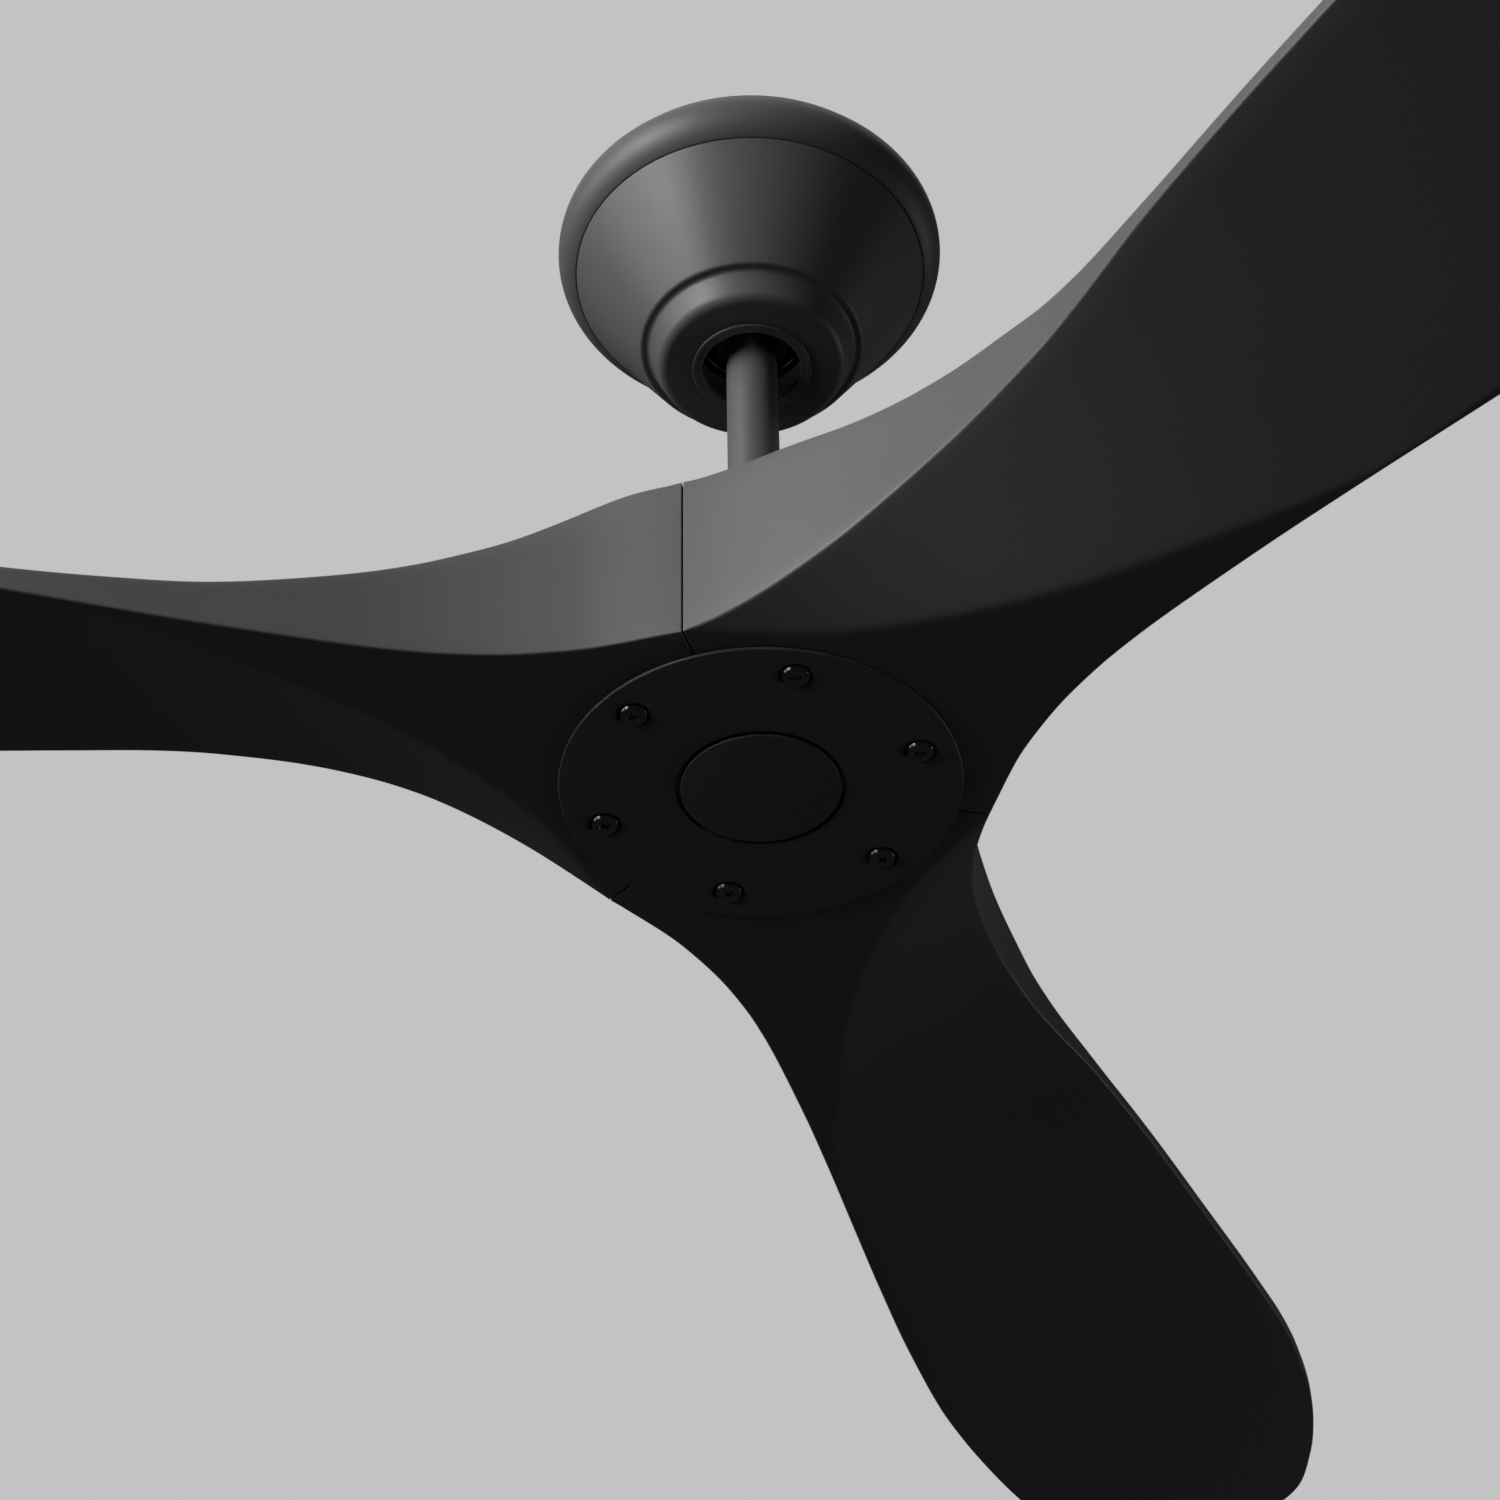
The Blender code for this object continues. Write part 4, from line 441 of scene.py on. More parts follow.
def carve(item: bpy.types.Object, tools: Sequence[bpy.types.Object], sharp: float = 35.0) -> bpy.types.Object:
    """Cut tools out of a piece with exact Booleans and delete them.

    Args:
        item: The piece.
        tools: The cutters.
        sharp: Angle in degrees over which an edge stays sharp.

    Returns:
        The piece, with its new mesh.
    """
    for tool in tools:
        step = item.modifiers.new("cut", "BOOLEAN")
        step.operation, step.solver, step.object = "DIFFERENCE", "EXACT", tool
    graph = bpy.context.evaluated_depsgraph_get()
    mesh = bpy.data.meshes.new_from_object(item.evaluated_get(graph))
    item.modifiers.clear()
    item.data = mesh
    mesh.shade_smooth()
    mesh.set_sharp_from_angle(angle=math.radians(sharp))
    for tool in tools:
        bpy.data.objects.remove(tool, do_unlink=True)
    return item


def mark_edges(item: bpy.types.Object) -> None:
    """Write the attribute "edge": how far each vertex stands out from its neighbours, per edge length.

    Args:
        item: The piece.
    """
    mesh, gain = item.data, 5.0
    points = np.empty(len(mesh.vertices) * 3)
    mesh.vertices.foreach_get("co", points)
    normals = np.empty(len(mesh.vertices) * 3)
    mesh.vertices.foreach_get("normal", normals)
    points, normals = points.reshape(-1, 3), normals.reshape(-1, 3)
    links = np.empty(len(mesh.edges) * 2, int)
    mesh.edges.foreach_get("vertices", links)
    first, second = links.reshape(-1, 2).T
    step = points[second] - points[first]
    length = np.linalg.norm(step, axis=1) + 1e-9
    total, count = np.zeros(len(points)), np.zeros(len(points))
    np.add.at(total, first, -(step * normals[first]).sum(1) / length)
    np.add.at(total, second, (step * normals[second]).sum(1) / length)
    np.add.at(count, first, 1.0)
    np.add.at(count, second, 1.0)
    value = np.clip(total / np.maximum(count, 1.0) * gain, 0.0, 1.0)
    layer = mesh.attributes.new("edge", "FLOAT", "POINT")
    layer.data.foreach_set("value", value.astype(np.float32))


def seat(item: bpy.types.Object, finish: Finish, body: str, *nodes: str) -> None:
    """Paint a finished piece, put it on its body and let it stand for CAD nodes.

    Args:
        item: The piece.
        finish: Its finish.
        body: The body that it moves with.
        nodes: The CAD nodes that it replaces.
    """
    mark_edges(item)
    item.data.materials.clear()
    item.data.materials.append(PAINTS.get(finish))
    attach(item, body)
    if nodes:
        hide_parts(*nodes)
    LOG.info("%s: %d faces on %s", item.name, len(item.data.polygons), body)


def turned(name: str, outline: Sequence[Sequence[float]], radii: Sequence[float], sides: int,
           lift: float = 0.0) -> bpy.types.Object:
    """Turn a rounded outline into a piece.

    Args:
        name: The piece's name.
        outline: Corners as (radius, height).
        radii: The rounding at each corner.
        sides: Steps round the axis.
        lift: Height added to the outline.

    Returns:
        The new object.
    """
    points, faces = revolve(soften(outline, radii), sides)
    points[:, 2] += lift
    return make_mesh(name, points, faces)


@dataclass
class Canopy:
    """The shell under the ceiling, its grommet and the trim ring round it."""

    floor: float = -0.0847
    wall: float = 0.0012
    top: float = -0.0004
    skirt: float = 0.0746
    seam: float = -0.0263
    cone: float = 0.0467
    cone_rise: float = 0.0122
    bead: float = 0.0434
    bead_floor: float = 0.0350
    bead_round: float = 0.0050
    bead_tilt: float = 21.0
    hole: float = 0.0228
    outer_radii: tuple[float, ...] = (0.0022, 0.0020, 0.0009, 0.0003)
    inner_radii: tuple[float, ...] = (0.0003, 0.0012, 0.0008, 0.0006)
    screw_height: float = -0.0125
    slot_width: float = 0.0052
    slot_reach: tuple[float, float] = (0.070, 0.078)
    slot_top: float = 0.003
    grommet_bore: float = 0.0205
    grommet_step: float = 0.0231
    grommet_lip: float = 0.0249
    grommet_neck: float = 0.0225
    grommet_clip: float = 0.0238
    grommet_drop: float = 0.0010
    ring_radius: float = 0.0146
    ring_wall: float = 0.0013
    ring_share: float = 0.884
    ring_end: float = 50.0
    ring_rim: float = -0.0005
    sides: int = 192

    def outline(self) -> tuple[list[tuple[float, float]], list[float]]:
        """List the shell's corners and the rounding of each, outside first, then inside.

        Returns:
            The corners and their radii.
        """
        rise = self.floor + self.cone_rise
        centre = (self.bead_floor, self.floor + self.bead_round)
        run, height = self.skirt - self.cone, self.seam - rise
        inset = self.wall * math.hypot(run, height) / height
        lift = (inset - self.wall) * height / run
        outer = arc(centre, self.bead_round, -90.0, -self.bead_tilt, 16)
        inner = arc(centre, self.bead_round - self.wall, -self.bead_tilt, -90.0, 16)
        corners = [(self.hole, self.floor), *outer, (self.bead, rise), (self.cone, rise),
                   (self.skirt, self.seam), (self.skirt, self.top),
                   (self.skirt - self.wall, self.top), (self.skirt - self.wall, self.seam + lift),
                   (self.cone - inset + self.wall * run / height, rise + self.wall),
                   (self.bead - self.wall, rise + self.wall), *inner,
                   (self.hole, self.floor + self.wall)]
        smooth = [0.0] * len(outer)
        hole = self.outer_radii[-1]
        return corners, [hole, *smooth, *self.outer_radii, *self.inner_radii, *smooth, hole]

    def build(self) -> None:
        """Make shell, grommet and trim ring."""
        corners, radii = self.outline()
        shell = turned("canopy_shell", corners, radii, self.sides)
        half = self.slot_width / 2.0
        tools = []
        for side in (-1.0, 1.0):
            start, end = sorted(side * place for place in self.slot_reach)
            tools.append(box_tool((start, -half, self.screw_height - half), (end, half, self.slot_top)))
        seat(carve(shell, tools), SATIN, "canopy", "canopy")
        # Paint the inside of the shell near black, as painted shade.
        self.paint_inside_shade(shell)
        self.build_grommet()
        self.build_ring()

    def paint_inside_shade(self, shell: bpy.types.Object) -> None:
        """Paint the faces that look inwards near black, as painted shade: the dark stands for the shade
        inside the shell, not for a coat of its own.

        A face looks inwards where its normal's part away from the axis, less its part upwards, is
        under -0.5. The top rim stays satin.

        Args:
            shell: The canopy's shell.
        """
        mesh, limit, rim = shell.data, -0.5, 0.0005
        count = len(mesh.polygons)
        centres, normals = np.empty(count * 3), np.empty(count * 3)
        mesh.polygons.foreach_get("center", centres)
        mesh.polygons.foreach_get("normal", normals)
        centres, normals = centres.reshape(-1, 3), normals.reshape(-1, 3)
        outward = (centres[:, :2] * normals[:, :2]).sum(1) / np.linalg.norm(centres[:, :2], axis=1)
        inward = (outward - normals[:, 2] < limit) & (centres[:, 2] < self.top - rim)
        # The inward faces get the painted-shade finish as their second material.
        mesh.materials.append(PAINTS.get(INSIDE_SHADE))
        mesh.polygons.foreach_set("material_index", inward.astype(np.int32))

    def build_grommet(self) -> None:
        """Make the ring that lines the hole, with a fine step in its face and a clip inside."""
        under, inside = self.floor - GAP, self.floor + self.wall + GAP
        low, step, slant = under - self.grommet_drop, 0.0002, 0.0003
        clip, crown = 0.0005, 0.0012
        corners = [(self.grommet_bore, low + step), (self.grommet_step, low + step),
                   (self.grommet_step + slant, low), (self.grommet_lip, low),
                   (self.grommet_lip, under), (self.grommet_neck, under),
                   (self.grommet_neck, inside), (self.grommet_clip, inside),
                   (self.grommet_clip, inside + clip), (self.grommet_bore, inside + crown)]
        radii = [0.0004, 0.0002, 0.0002, 0.0008, 0.0, 0.0, 0.0, 0.0003, 0.0003, 0.0004]
        seat(turned("grommet", corners, radii, 128), RUBBER, "canopy", "canopy_grommet")

    def build_ring(self) -> None:
        """Make the half-round ring that hides the screws.

        Its outside is an arc that starts at the tight lip, at the radius times the lip's share
        under the arc's centre, and ends in a short upright rim.
        """
        lip, outer, inner = self.skirt + GAP, self.ring_radius, self.ring_radius - self.ring_wall
        reach = outer * self.ring_share
        centre = (lip - math.sqrt(outer ** 2 - reach ** 2), self.seam + GAP + reach)
        start = -math.degrees(math.asin(self.ring_share))
        low = -math.degrees(math.acos((lip - centre[0]) / inner))
        outside = arc(centre, outer, start, self.ring_end, 36)
        inside = arc(centre, inner, self.ring_end, low, 32)
        rims = [(outside[-1][0], self.ring_rim), (inside[0][0], self.ring_rim)]
        corners = outside + rims + inside
        radii = [0.0002] + [0.0] * (len(outside) - 1) + [0.0003, 0.0003] + [0.0] * len(inside)
        seat(turned("trim_ring", corners, radii, self.sides), SATIN, "trim_ring", "canopy_trim_ring")


def box_tool(low: Sequence[float], high: Sequence[float]) -> bpy.types.Object:
    """Make a plain box between two corners, to cut with."""
    corners = np.array([[(low, high)[(k >> a) & 1][a] for a in range(3)] for k in range(8)])
    faces = [(0, 2, 3, 1), (4, 5, 7, 6), (0, 1, 5, 4), (2, 6, 7, 3), (0, 4, 6, 2), (1, 3, 7, 5)]
    return make_mesh("tool", corners, faces)


def round_tool(outline: Sequence[Sequence[float]], sides: int, place: Matrix) -> bpy.types.Object:
    """Turn an outline into a cutter and move it to its place."""
    points, faces = revolve(np.asarray(outline, float), sides)
    tool = make_mesh("tool", points, faces)
    tool.data.transform(place)
    return tool


def hole_tool(radius: float, low: float, high: float, place: Sequence[float]) -> bpy.types.Object:
    """Make an upright round cutter for a screw's hole, between two heights over a place."""
    outline = [(0.0, low), (radius, low), (radius, high), (0.0, high)]
    return round_tool(outline, 24, Matrix.Translation(place))


def placed_copy(master: bpy.types.Object, name: str, place: Matrix) -> bpy.types.Object:
    """Copy a piece, with its mesh moved to its place."""
    mesh = master.data.copy()
    mesh.transform(place)
    item = bpy.data.objects.new(name, mesh)
    bpy.context.scene.collection.objects.link(item)
    return item


def on_circle(angle: float, height: float = 0.0) -> tuple[float, float, float]:
    """Give the point at an angle on the circle of the blade screws."""
    return SCREW_CIRCLE * math.cos(angle), SCREW_CIRCLE * math.sin(angle), height


@dataclass
class Downrod:
    """The rod and the bell that hides its lower end."""

    radius: float = 0.01065
    bore: float = 0.0082
    top: float = -0.0285
    bottom: float = PLATE_Z + 0.0795
    wall: float = 0.0015
    bell: float = 0.034
    bell_low: float = 0.082
    bell_top: float = 0.124
    shoulder: float = 0.100
    shoulder_end: float = 0.1185
    neck: float = 0.014

    def build(self) -> None:
        """Make the rod and its bell."""
        corners = [(self.bore, self.bottom), (self.radius, self.bottom), (self.radius, self.top),
                   (self.bore, self.top)]
        rod = turned("downrod_tube", corners, [0.0003] * 4, 96)
        seat(rod, SATIN, "downrod", "downrod")
        self.build_bell()

    def build_bell(self) -> None:
        """Make the bell: a straight skirt, a shoulder that sweeps in and a short neck."""
        bore, inner = self.radius + GAP, self.bell - self.wall
        sweep = shoulder_curve((self.bell, self.shoulder), (self.neck, self.shoulder_end), 28)
        inside = shoulder_curve((inner, self.shoulder - self.wall),
                                (bore, self.shoulder_end - self.wall), 28)
        corners = [(self.bell, self.bell_low), *sweep, (self.neck, self.bell_top),
                   (bore, self.bell_top), *inside[::-1], (inner, self.bell_low)]
        radii = [0.0004] + [0.0] * len(sweep) + [0.0007, 0.0002] + [0.0] * len(inside) + [0.0004]
        bell = turned("coupling_bell", corners, radii, 128, PLATE_Z)
        seat(bell, SATIN, "downrod", "coupling_cover")


def shoulder_curve(start: Sequence[float], end: Sequence[float], steps: int) -> list[tuple[float, float]]:
    """Sweep from an upright wall inwards and up again, as a cubic with upright ends.

    With t from 0 to 1 the radius follows 3t^2 - 2t^3 and the height a blend of t and its ease.

    Args:
        start: Lower end as (radius, height).
        end: Upper end.
        steps: Pieces of the curve.

    Returns:
        The curve's points, ends included.
    """
    t = np.linspace(0.0, 1.0, steps + 1)
    across = 3.0 * t ** 2 - 2.0 * t ** 3
    up = 0.5 * (t + (1.0 - (1.0 - t) ** 2) * 0.5 + 0.5 * t ** 2)
    radius = start[0] + (end[0] - start[0]) * across
    height = start[1] + (end[1] - start[1]) * up
    return list(zip(radius.tolist(), height.tolist()))


def through(start: tuple[float, float], end: tuple[float, float],
            shares: Sequence[tuple[float, float]]) -> list[tuple[float, float]]:
    """List points between two ends, each at its share of the way and of the change."""
    width, change = end[0] - start[0], end[1] - start[1]
    middle = [(start[0] + along * width, start[1] + across * change) for along, across in shares]
    return [start, *middle, end]


def chain(stops: Sequence[tuple[float, float]],
          tables: Sequence[Sequence[tuple[float, float]]]) -> list[tuple[float, float]]:
    """Join runs of points between one stop and the next, each with its own table of shares."""
    points = [stops[0]]
    for start, end, shares in zip(stops, stops[1:], tables):
        points += through(start, end, shares)[1:]
    return points


def read_curve(points: Sequence[tuple[float, float]], xs: Array) -> Array:
    """Read a cubic through points at many places, held level past its ends.

    The slope at a point is the harmonic mean of the chords beside it, or zero at a peak.

    Args:
        points: The curve's points, in order of x.
        xs: Where to read it.

    Returns:
        Its heights there.
    """
    known = np.asarray(points, float)
    px, py = known[:, 0], known[:, 1]
    chord = np.diff(py) / np.diff(px)
    product = chord[:-1] * chord[1:]
    total = chord[:-1] + chord[1:]
    inner = np.where(product > 0.0, 2.0 * product / np.where(total == 0.0, 1.0, total), 0.0)
    slope = np.concatenate([[chord[0]], inner, [chord[-1]]])
    x = np.clip(xs, px[0], px[-1])
    k = np.clip(np.searchsorted(px, x) - 1, 0, len(px) - 2)
    width = px[k + 1] - px[k]
    t = (x - px[k]) / width
    ends = py[k] * (1.0 + 2.0 * t) * (1.0 - t) ** 2 + py[k + 1] * (3.0 - 2.0 * t) * t ** 2
    return ends + (slope[k] * t * (1.0 - t) ** 2 - slope[k + 1] * (1.0 - t) * t ** 2) * width


def blur(values: Array, reach: float) -> Array:
    """Average values with a bell-shaped weight, mirrored through both end points.

    Args:
        values: Evenly spaced values.
        reach: The weight's spread, in steps.

    Returns:
        The averaged values.
    """
    half = int(reach * 3.0) + 1
    weight = np.exp(-0.5 * (np.arange(-half, half + 1) / reach) ** 2)
    weight /= weight.sum()
    head = 2.0 * values[0] - values[half:0:-1]
    tail = 2.0 * values[-1] - values[-2:-half - 2:-1]
    return np.convolve(np.concatenate([head, values, tail]), weight, "valid")


@dataclass
class Blade:
    """One blade: a wedge of the hub that narrows to a waist and widens to a pitched paddle."""

    hub: float = 0.088
    hub_top: float = 0.078
    reach: float = 0.6564
    lift: float = 0.0018
    thickness: float = 0.0058
    start: float = 0.014
    seam_gap: float = 0.0005
    waist: float = 0.155
    lead_waist: float = 0.0498
    trail_waist: float = 0.0476
    lead_belly_x: float = 0.514
    lead_belly: float = 0.1029
    trail_belly_x: float = 0.440
    trail_belly: float = 0.0612
    tip_lead: float = 0.028
    tip_trail: float = -0.004
    tip_start: float = 0.600
    keen_length: float = 0.06
    keen_blend: float = 0.03
    rise: float = 0.0329
    root_end: float = 0.260
    neck_end: float = 0.300
    lead_fall: tuple[float, float] = (0.076, 0.300)
    trail_fall: tuple[float, float] = (0.062, 0.420)
    crease_end: float = 0.258
    crease_width: float = 0.0022
    under_round: float = 0.0009
    top_round: float = 0.0013
    seam_round: float = 0.0004
    corner_merge: float = 0.0003
    top_merge: float = 0.0006
    cavity: float = 0.076
    cavity_floor: float = 0.0085
    skin_sharp: float = 50.0
    root_sharp: float = 40.0
    fine: float = 0.00025

    def seam_half(self, x: Array) -> Array:
        """Give the wedge's half width, which grows by the tangent of 60 degrees."""
        back = self.seam_gap / (2.0 * math.sin(math.pi / BLADE_COUNT))
        return (x - back) * math.tan(math.pi / BLADE_COUNT)

    def curves(self) -> dict[str, Array]:
        """Work out the long curves of the blade on a fine, even run of x.

        Returns:
            Arrays by name: x, lead, trail, low_lead, low_trail, top_lead, top_trail and fold.
        """
        corner = self.hub * math.cos(math.pi / BLADE_COUNT)
        half = float(self.seam_half(corner))
        high, thick = self.lift + self.rise, self.thickness
        x = np.append(np.arange(corner, self.reach, self.fine), self.reach)
        lines = {
            "lead": chain([(corner, half), (self.waist, self.lead_waist),
                           (self.lead_belly_x, self.lead_belly), (self.reach, self.tip_lead)],
                          (LEAD_NECK, LEAD_BELLY, LEAD_TIP)),
            "trail": chain([(corner, half), (self.waist, self.trail_waist),
                            (self.trail_belly_x, self.trail_belly), (self.reach, self.tip_trail)],
                           (TRAIL_NECK, TRAIL_BELLY, TRAIL_TIP)),
            "low_lead": through((corner, self.lift), (self.root_end, high), LEAD_RISE),
            "top_lead": through((self.lead_fall[0], self.hub_top),
                                (self.lead_fall[1], high + thick), LEAD_FALL),
            "top_trail": through((self.trail_fall[0], self.hub_top),
                                 (self.trail_fall[1], self.lift + thick), TRAIL_FALL)}
        made = {name: read_curve(points, x) for name, points in lines.items()}
        end = float(np.interp(self.crease_end, x, made["trail"]))
        made["fold"] = read_curve(through((corner, -half), (self.crease_end, end), CREASE), x)
        keen = np.clip((x - self.reach + self.keen_length) / self.keen_blend, 0.0, 1.0)
        for name, spread in SPREADS.items():
            keep = keen if name in ("lead", "trail") else 0.0
            made[name] = blur(made[name], spread) * (1.0 - keep) + made[name] * keep
        made["lead"], made["trail"] = -self.round_tip(x, made["lead"]), self.round_tip(x, made["trail"])
        pitch = self.rise / (self.lead_belly + self.trail_belly)
        drop = np.where(x > self.lead_belly_x, pitch * (self.lead_belly + made["lead"]), 0.0)
        climb = np.where(x > self.trail_belly_x, pitch * (self.trail_belly - made["trail"]), 0.0)
        made["low_lead"], made["top_lead"] = made["low_lead"] - drop, made["top_lead"] - drop
        made["low_trail"] = self.lift + climb
        for side in ("lead", "trail"):
            made["top_" + side] = soft_max(made["top_" + side], made["low_" + side] + thick, self.top_merge)
        made["x"] = x
        return made

    def round_tip(self, x: Array, edge: Array) -> Array:
        """Smooth an edge's last part, so that it runs on into a round tip.

        With s = sqrt(reach - x) and s0 its value at tip_start, the edge is a run in s that keeps
        its place and slope at s0, plus (s - s0)^2 times a cubic in s fitted to the edge, with
        each place weighed by the length of edge that it stands for.

        Args:
            x: Places along the blade.
            edge: The edge's distance from the blade's middle line there.

        Returns:
            The edge with a smooth, round tip.
        """
        s = np.sqrt(np.clip(self.reach - x, 0.0, None))
        last = x >= self.tip_start
        first = int(np.argmax(last))
        slope = (edge[first] - edge[first - 8]) / (x[first] - x[first - 8])
        run = edge[first] - 2.0 * s[first] * slope * (s - s[first])
        terms = ((s - s[first]) ** 2)[:, None] * s[:, None] ** np.arange(4)
        weight = np.sqrt(np.hypot(1.0, np.gradient(edge) / self.fine))[last]
        law = np.linalg.lstsq(terms[last] * weight[:, None], (edge - run)[last] * weight, rcond=None)[0]
        return np.where(last, run + terms @ law, edge)

    def stations(self) -> Array:
        """Choose where sections stand: close at the seam's corner and towards the tip."""
        corner = self.hub * math.cos(math.pi / BLADE_COUNT)
        wedge = np.linspace(self.start, corner - 0.0012, 12)
        turn = corner + np.linspace(-0.0009, 0.0015, 13)
        neck = np.linspace(corner + 0.0025, self.neck_end, 104)
        paddle = np.linspace(self.neck_end + 0.0035, self.tip_start, 86)
        end = self.tip_start + (self.reach - self.tip_start) * np.sin(np.linspace(0.0, math.pi / 2.0, 42))[1:]
        return np.concatenate([wedge, turn, neck, paddle, end])

    def sections(self) -> Array:
        """Work out the blade's skin as a grid of (station, place round the section).

        At each station the section runs along the underside from the trailing to the leading
        edge, up the leading wall, back along the top and down the trailing wall. The underside
        is level up to the crease and pitched beyond it: lift + m/2 (t + sqrt(t^2 + w^2)), with t
        the way past the crease, m the pitch and w the crease's width. Within a radius r of the
        outline, r (1 - sqrt(1 - (1 - d/r)^2)) rounds the edge, with d the way to the outline.

        Returns:
            Points with shape (stations, places, 3).
        """
        curves = self.curves()
        x = self.stations()
        corner = self.hub * math.cos(math.pi / BLADE_COUNT)
        inside = x <= corner

        def at(name: str) -> Array:
            """Read one long curve at the stations."""
            return np.interp(x, curves["x"], curves[name])

        lead = np.where(inside, -self.seam_half(x), at("lead"))
        trail = np.where(inside, self.seam_half(x), at("trail"))
        lead = -soft_min(-lead, self.seam_half(x), self.corner_merge)
        trail = soft_min(trail, self.seam_half(x), self.corner_merge)
        settle, wedge_lean, least_lean, margin, bend_half = 0.004, 0.5, 0.12, 0.0015, 0.004
        fade, least_crease, least_width = 0.06, 0.02, 0.001
        width = trail - lead
        to_end = np.maximum(self.reach - x, 0.0)
        outer = np.clip((x - corner) / settle, 0.0, 1.0)
        under = self.seam_round + (self.under_round - self.seam_round) * outer
        above = self.seam_round + (self.top_round - self.seam_round) * outer
        lean = [1.0 / np.sqrt(1.0 + np.gradient(edge, x) ** 2) for edge in (lead, trail)]
        lean = [np.where(inside, wedge_lean, np.maximum(value, least_lean)) for value in lean]
        fold = np.where(inside, lead + margin, np.minimum(at("fold"), trail - margin))
        arcs = 1.0 - np.cos(np.linspace(0.0, math.pi / 2.0, 6))

        def across(radius: Array, middle: Array) -> Array:
            """Spread places from the trailing to the leading edge, close at edges and crease."""
            near_trail = np.minimum(radius / lean[1], width * 0.3)[:, None] * arcs[None, :]
            near_lead = np.minimum(radius / lean[0], width * 0.3)[:, None] * arcs[None, :]
            first, last = near_trail[:, -1:], width[:, None] - near_lead[:, -1:]
            reach = np.minimum(bend_half, (last - first) * 0.2)
            mid = np.clip(middle[:, None], first + reach * 1.1, last - reach * 1.1)
            bend = mid + reach * np.linspace(-1.0, 1.0, 11)[None, :]
            share = np.linspace(0.0, 1.0, 13)[None, 1:-1]
            rise = first + (bend[:, :1] - first) * share
            fall = bend[:, -1:] + (last - bend[:, -1:]) * share
            return np.concatenate([near_trail, rise, bend, fall, width[:, None] - near_lead[:, ::-1]], axis=1)

        below = across(under, trail - fold)
        over = across(above, width * 0.5)

        def lip(places: Array, radius: Array) -> Array:
            """Give how far the rounded edge lies inside the flat surface."""
            side = np.minimum(places * lean[1][:, None], (width[:, None] - places) * lean[0][:, None])
            gap = np.minimum(side, to_end[:, None])
            share = np.clip(1.0 - gap / radius[:, None], 0.0, 1.0)
            return radius[:, None] * (1.0 - np.sqrt(np.clip(1.0 - share ** 2, 0.0, 1.0)))

        past = below - (trail - fold)[:, None]
        crease = self.crease_width * np.clip((self.crease_end - x) / fade, least_crease, 1.0)[:, None]
        low_lead = np.where(inside, self.lift, at("low_lead"))
        low_trail = np.where(inside, self.lift, at("low_trail"))
        slope = ((low_lead - low_trail) / np.maximum(fold - lead, least_width))[:, None]
        under_height = low_trail[:, None] + 0.5 * slope * (past + np.sqrt(past ** 2 + crease ** 2))
        under_height += lip(below, under)
        top_lead = np.where(inside, self.hub_top, at("top_lead"))
        top_trail = np.where(inside, self.hub_top, at("top_trail"))
        over_height = top_trail[:, None] + (top_lead - top_trail)[:, None] * over / width[:, None]
        over_height -= lip(over, above)
        wall = np.linspace(0.0, 1.0, 9)[None, 1:-1]
        lead_wall = under_height[:, -1:] + (over_height[:, -1:] - under_height[:, -1:]) * wall
        trail_wall = over_height[:, :1] + (under_height[:, :1] - over_height[:, :1]) * wall
        ones = np.ones_like(wall)
        ys = np.concatenate([trail[:, None] - below, lead[:, None] * ones, trail[:, None] - over[:, ::-1],
                             trail[:, None] * ones], axis=1)
        zs = np.concatenate([under_height, lead_wall, over_height[:, ::-1], trail_wall], axis=1)
        xs = np.repeat(x[:, None], ys.shape[1], axis=1)
        return np.stack([xs, ys, zs], axis=2)

    def build(self) -> None:
        """Make one blade, cut its root to fit the motor and turn copies of it round the hub."""
        grid = self.sections()
        rows, columns = grid.shape[:2]
        faces = [tuple(face) for face in grid_quads(rows, columns, False)]
        faces += [tuple(range(columns))[::-1], tuple(range((rows - 1) * columns, rows * columns))]
        first = make_mesh("blade_master", grid.reshape(-1, 3), faces, self.skin_sharp)
        carve(first, self.tools(), self.root_sharp)
        for index in range(BLADE_COUNT):
            turn = Matrix.Rotation(FIRST_BLADE + 2.0 * math.pi * index / BLADE_COUNT, 4, "Z")
            place = Matrix.Translation((0.0, 0.0, PLATE_Z)) @ turn
            item = placed_copy(first, "blade_skin_%d" % (index + 1), place)
            seat(item, BLADE, "rotor", "blade_%d" % (index + 1))
        bpy.data.objects.remove(first, do_unlink=True)

    def tools(self) -> list[bpy.types.Object]:
        """Make the cutters of the root: motor cavity, plate recess, core pocket and screw holes."""
        recess, depth, bore, over = 0.0703, 0.0049, 0.033, OVERCUT
        pocket, pocket_half, pocket_low, pocket_high = 0.060, 0.03, 0.021, 0.042
        outline = [(0.0, -over), (recess, -over), (recess, depth), (bore, depth), (bore, self.cavity_floor),
                   (self.cavity, self.cavity_floor), (self.cavity, self.hub_top + over),
                   (0.0, self.hub_top + over)]
        made = [round_tool(outline, 180, Matrix.Rotation(math.pi / 180.0, 4, "Z")),
                box_tool((self.cavity - over, -pocket_half, pocket_low),
                         (self.cavity + pocket, pocket_half, pocket_high))]
        return made + [hole_tool(SCREW_HOLE, -over, self.cavity_floor + over, on_circle(math.radians(side)))
                       for side in SCREW_SIDES]


def soft_max(first: Array, second: Array, width: float) -> Array:
    """Take the larger value with a rounded change: (a + b + sqrt((a - b)^2 + w^2)) / 2."""
    return (first + second + np.sqrt((first - second) ** 2 + width ** 2)) / 2.0


def soft_min(first: Array, second: Array, width: float) -> Array:
    """Take the smaller value with a rounded change: (a + b - sqrt((a - b)^2 + w^2)) / 2."""
    return (first + second - np.sqrt((first - second) ** 2 + width ** 2)) / 2.0


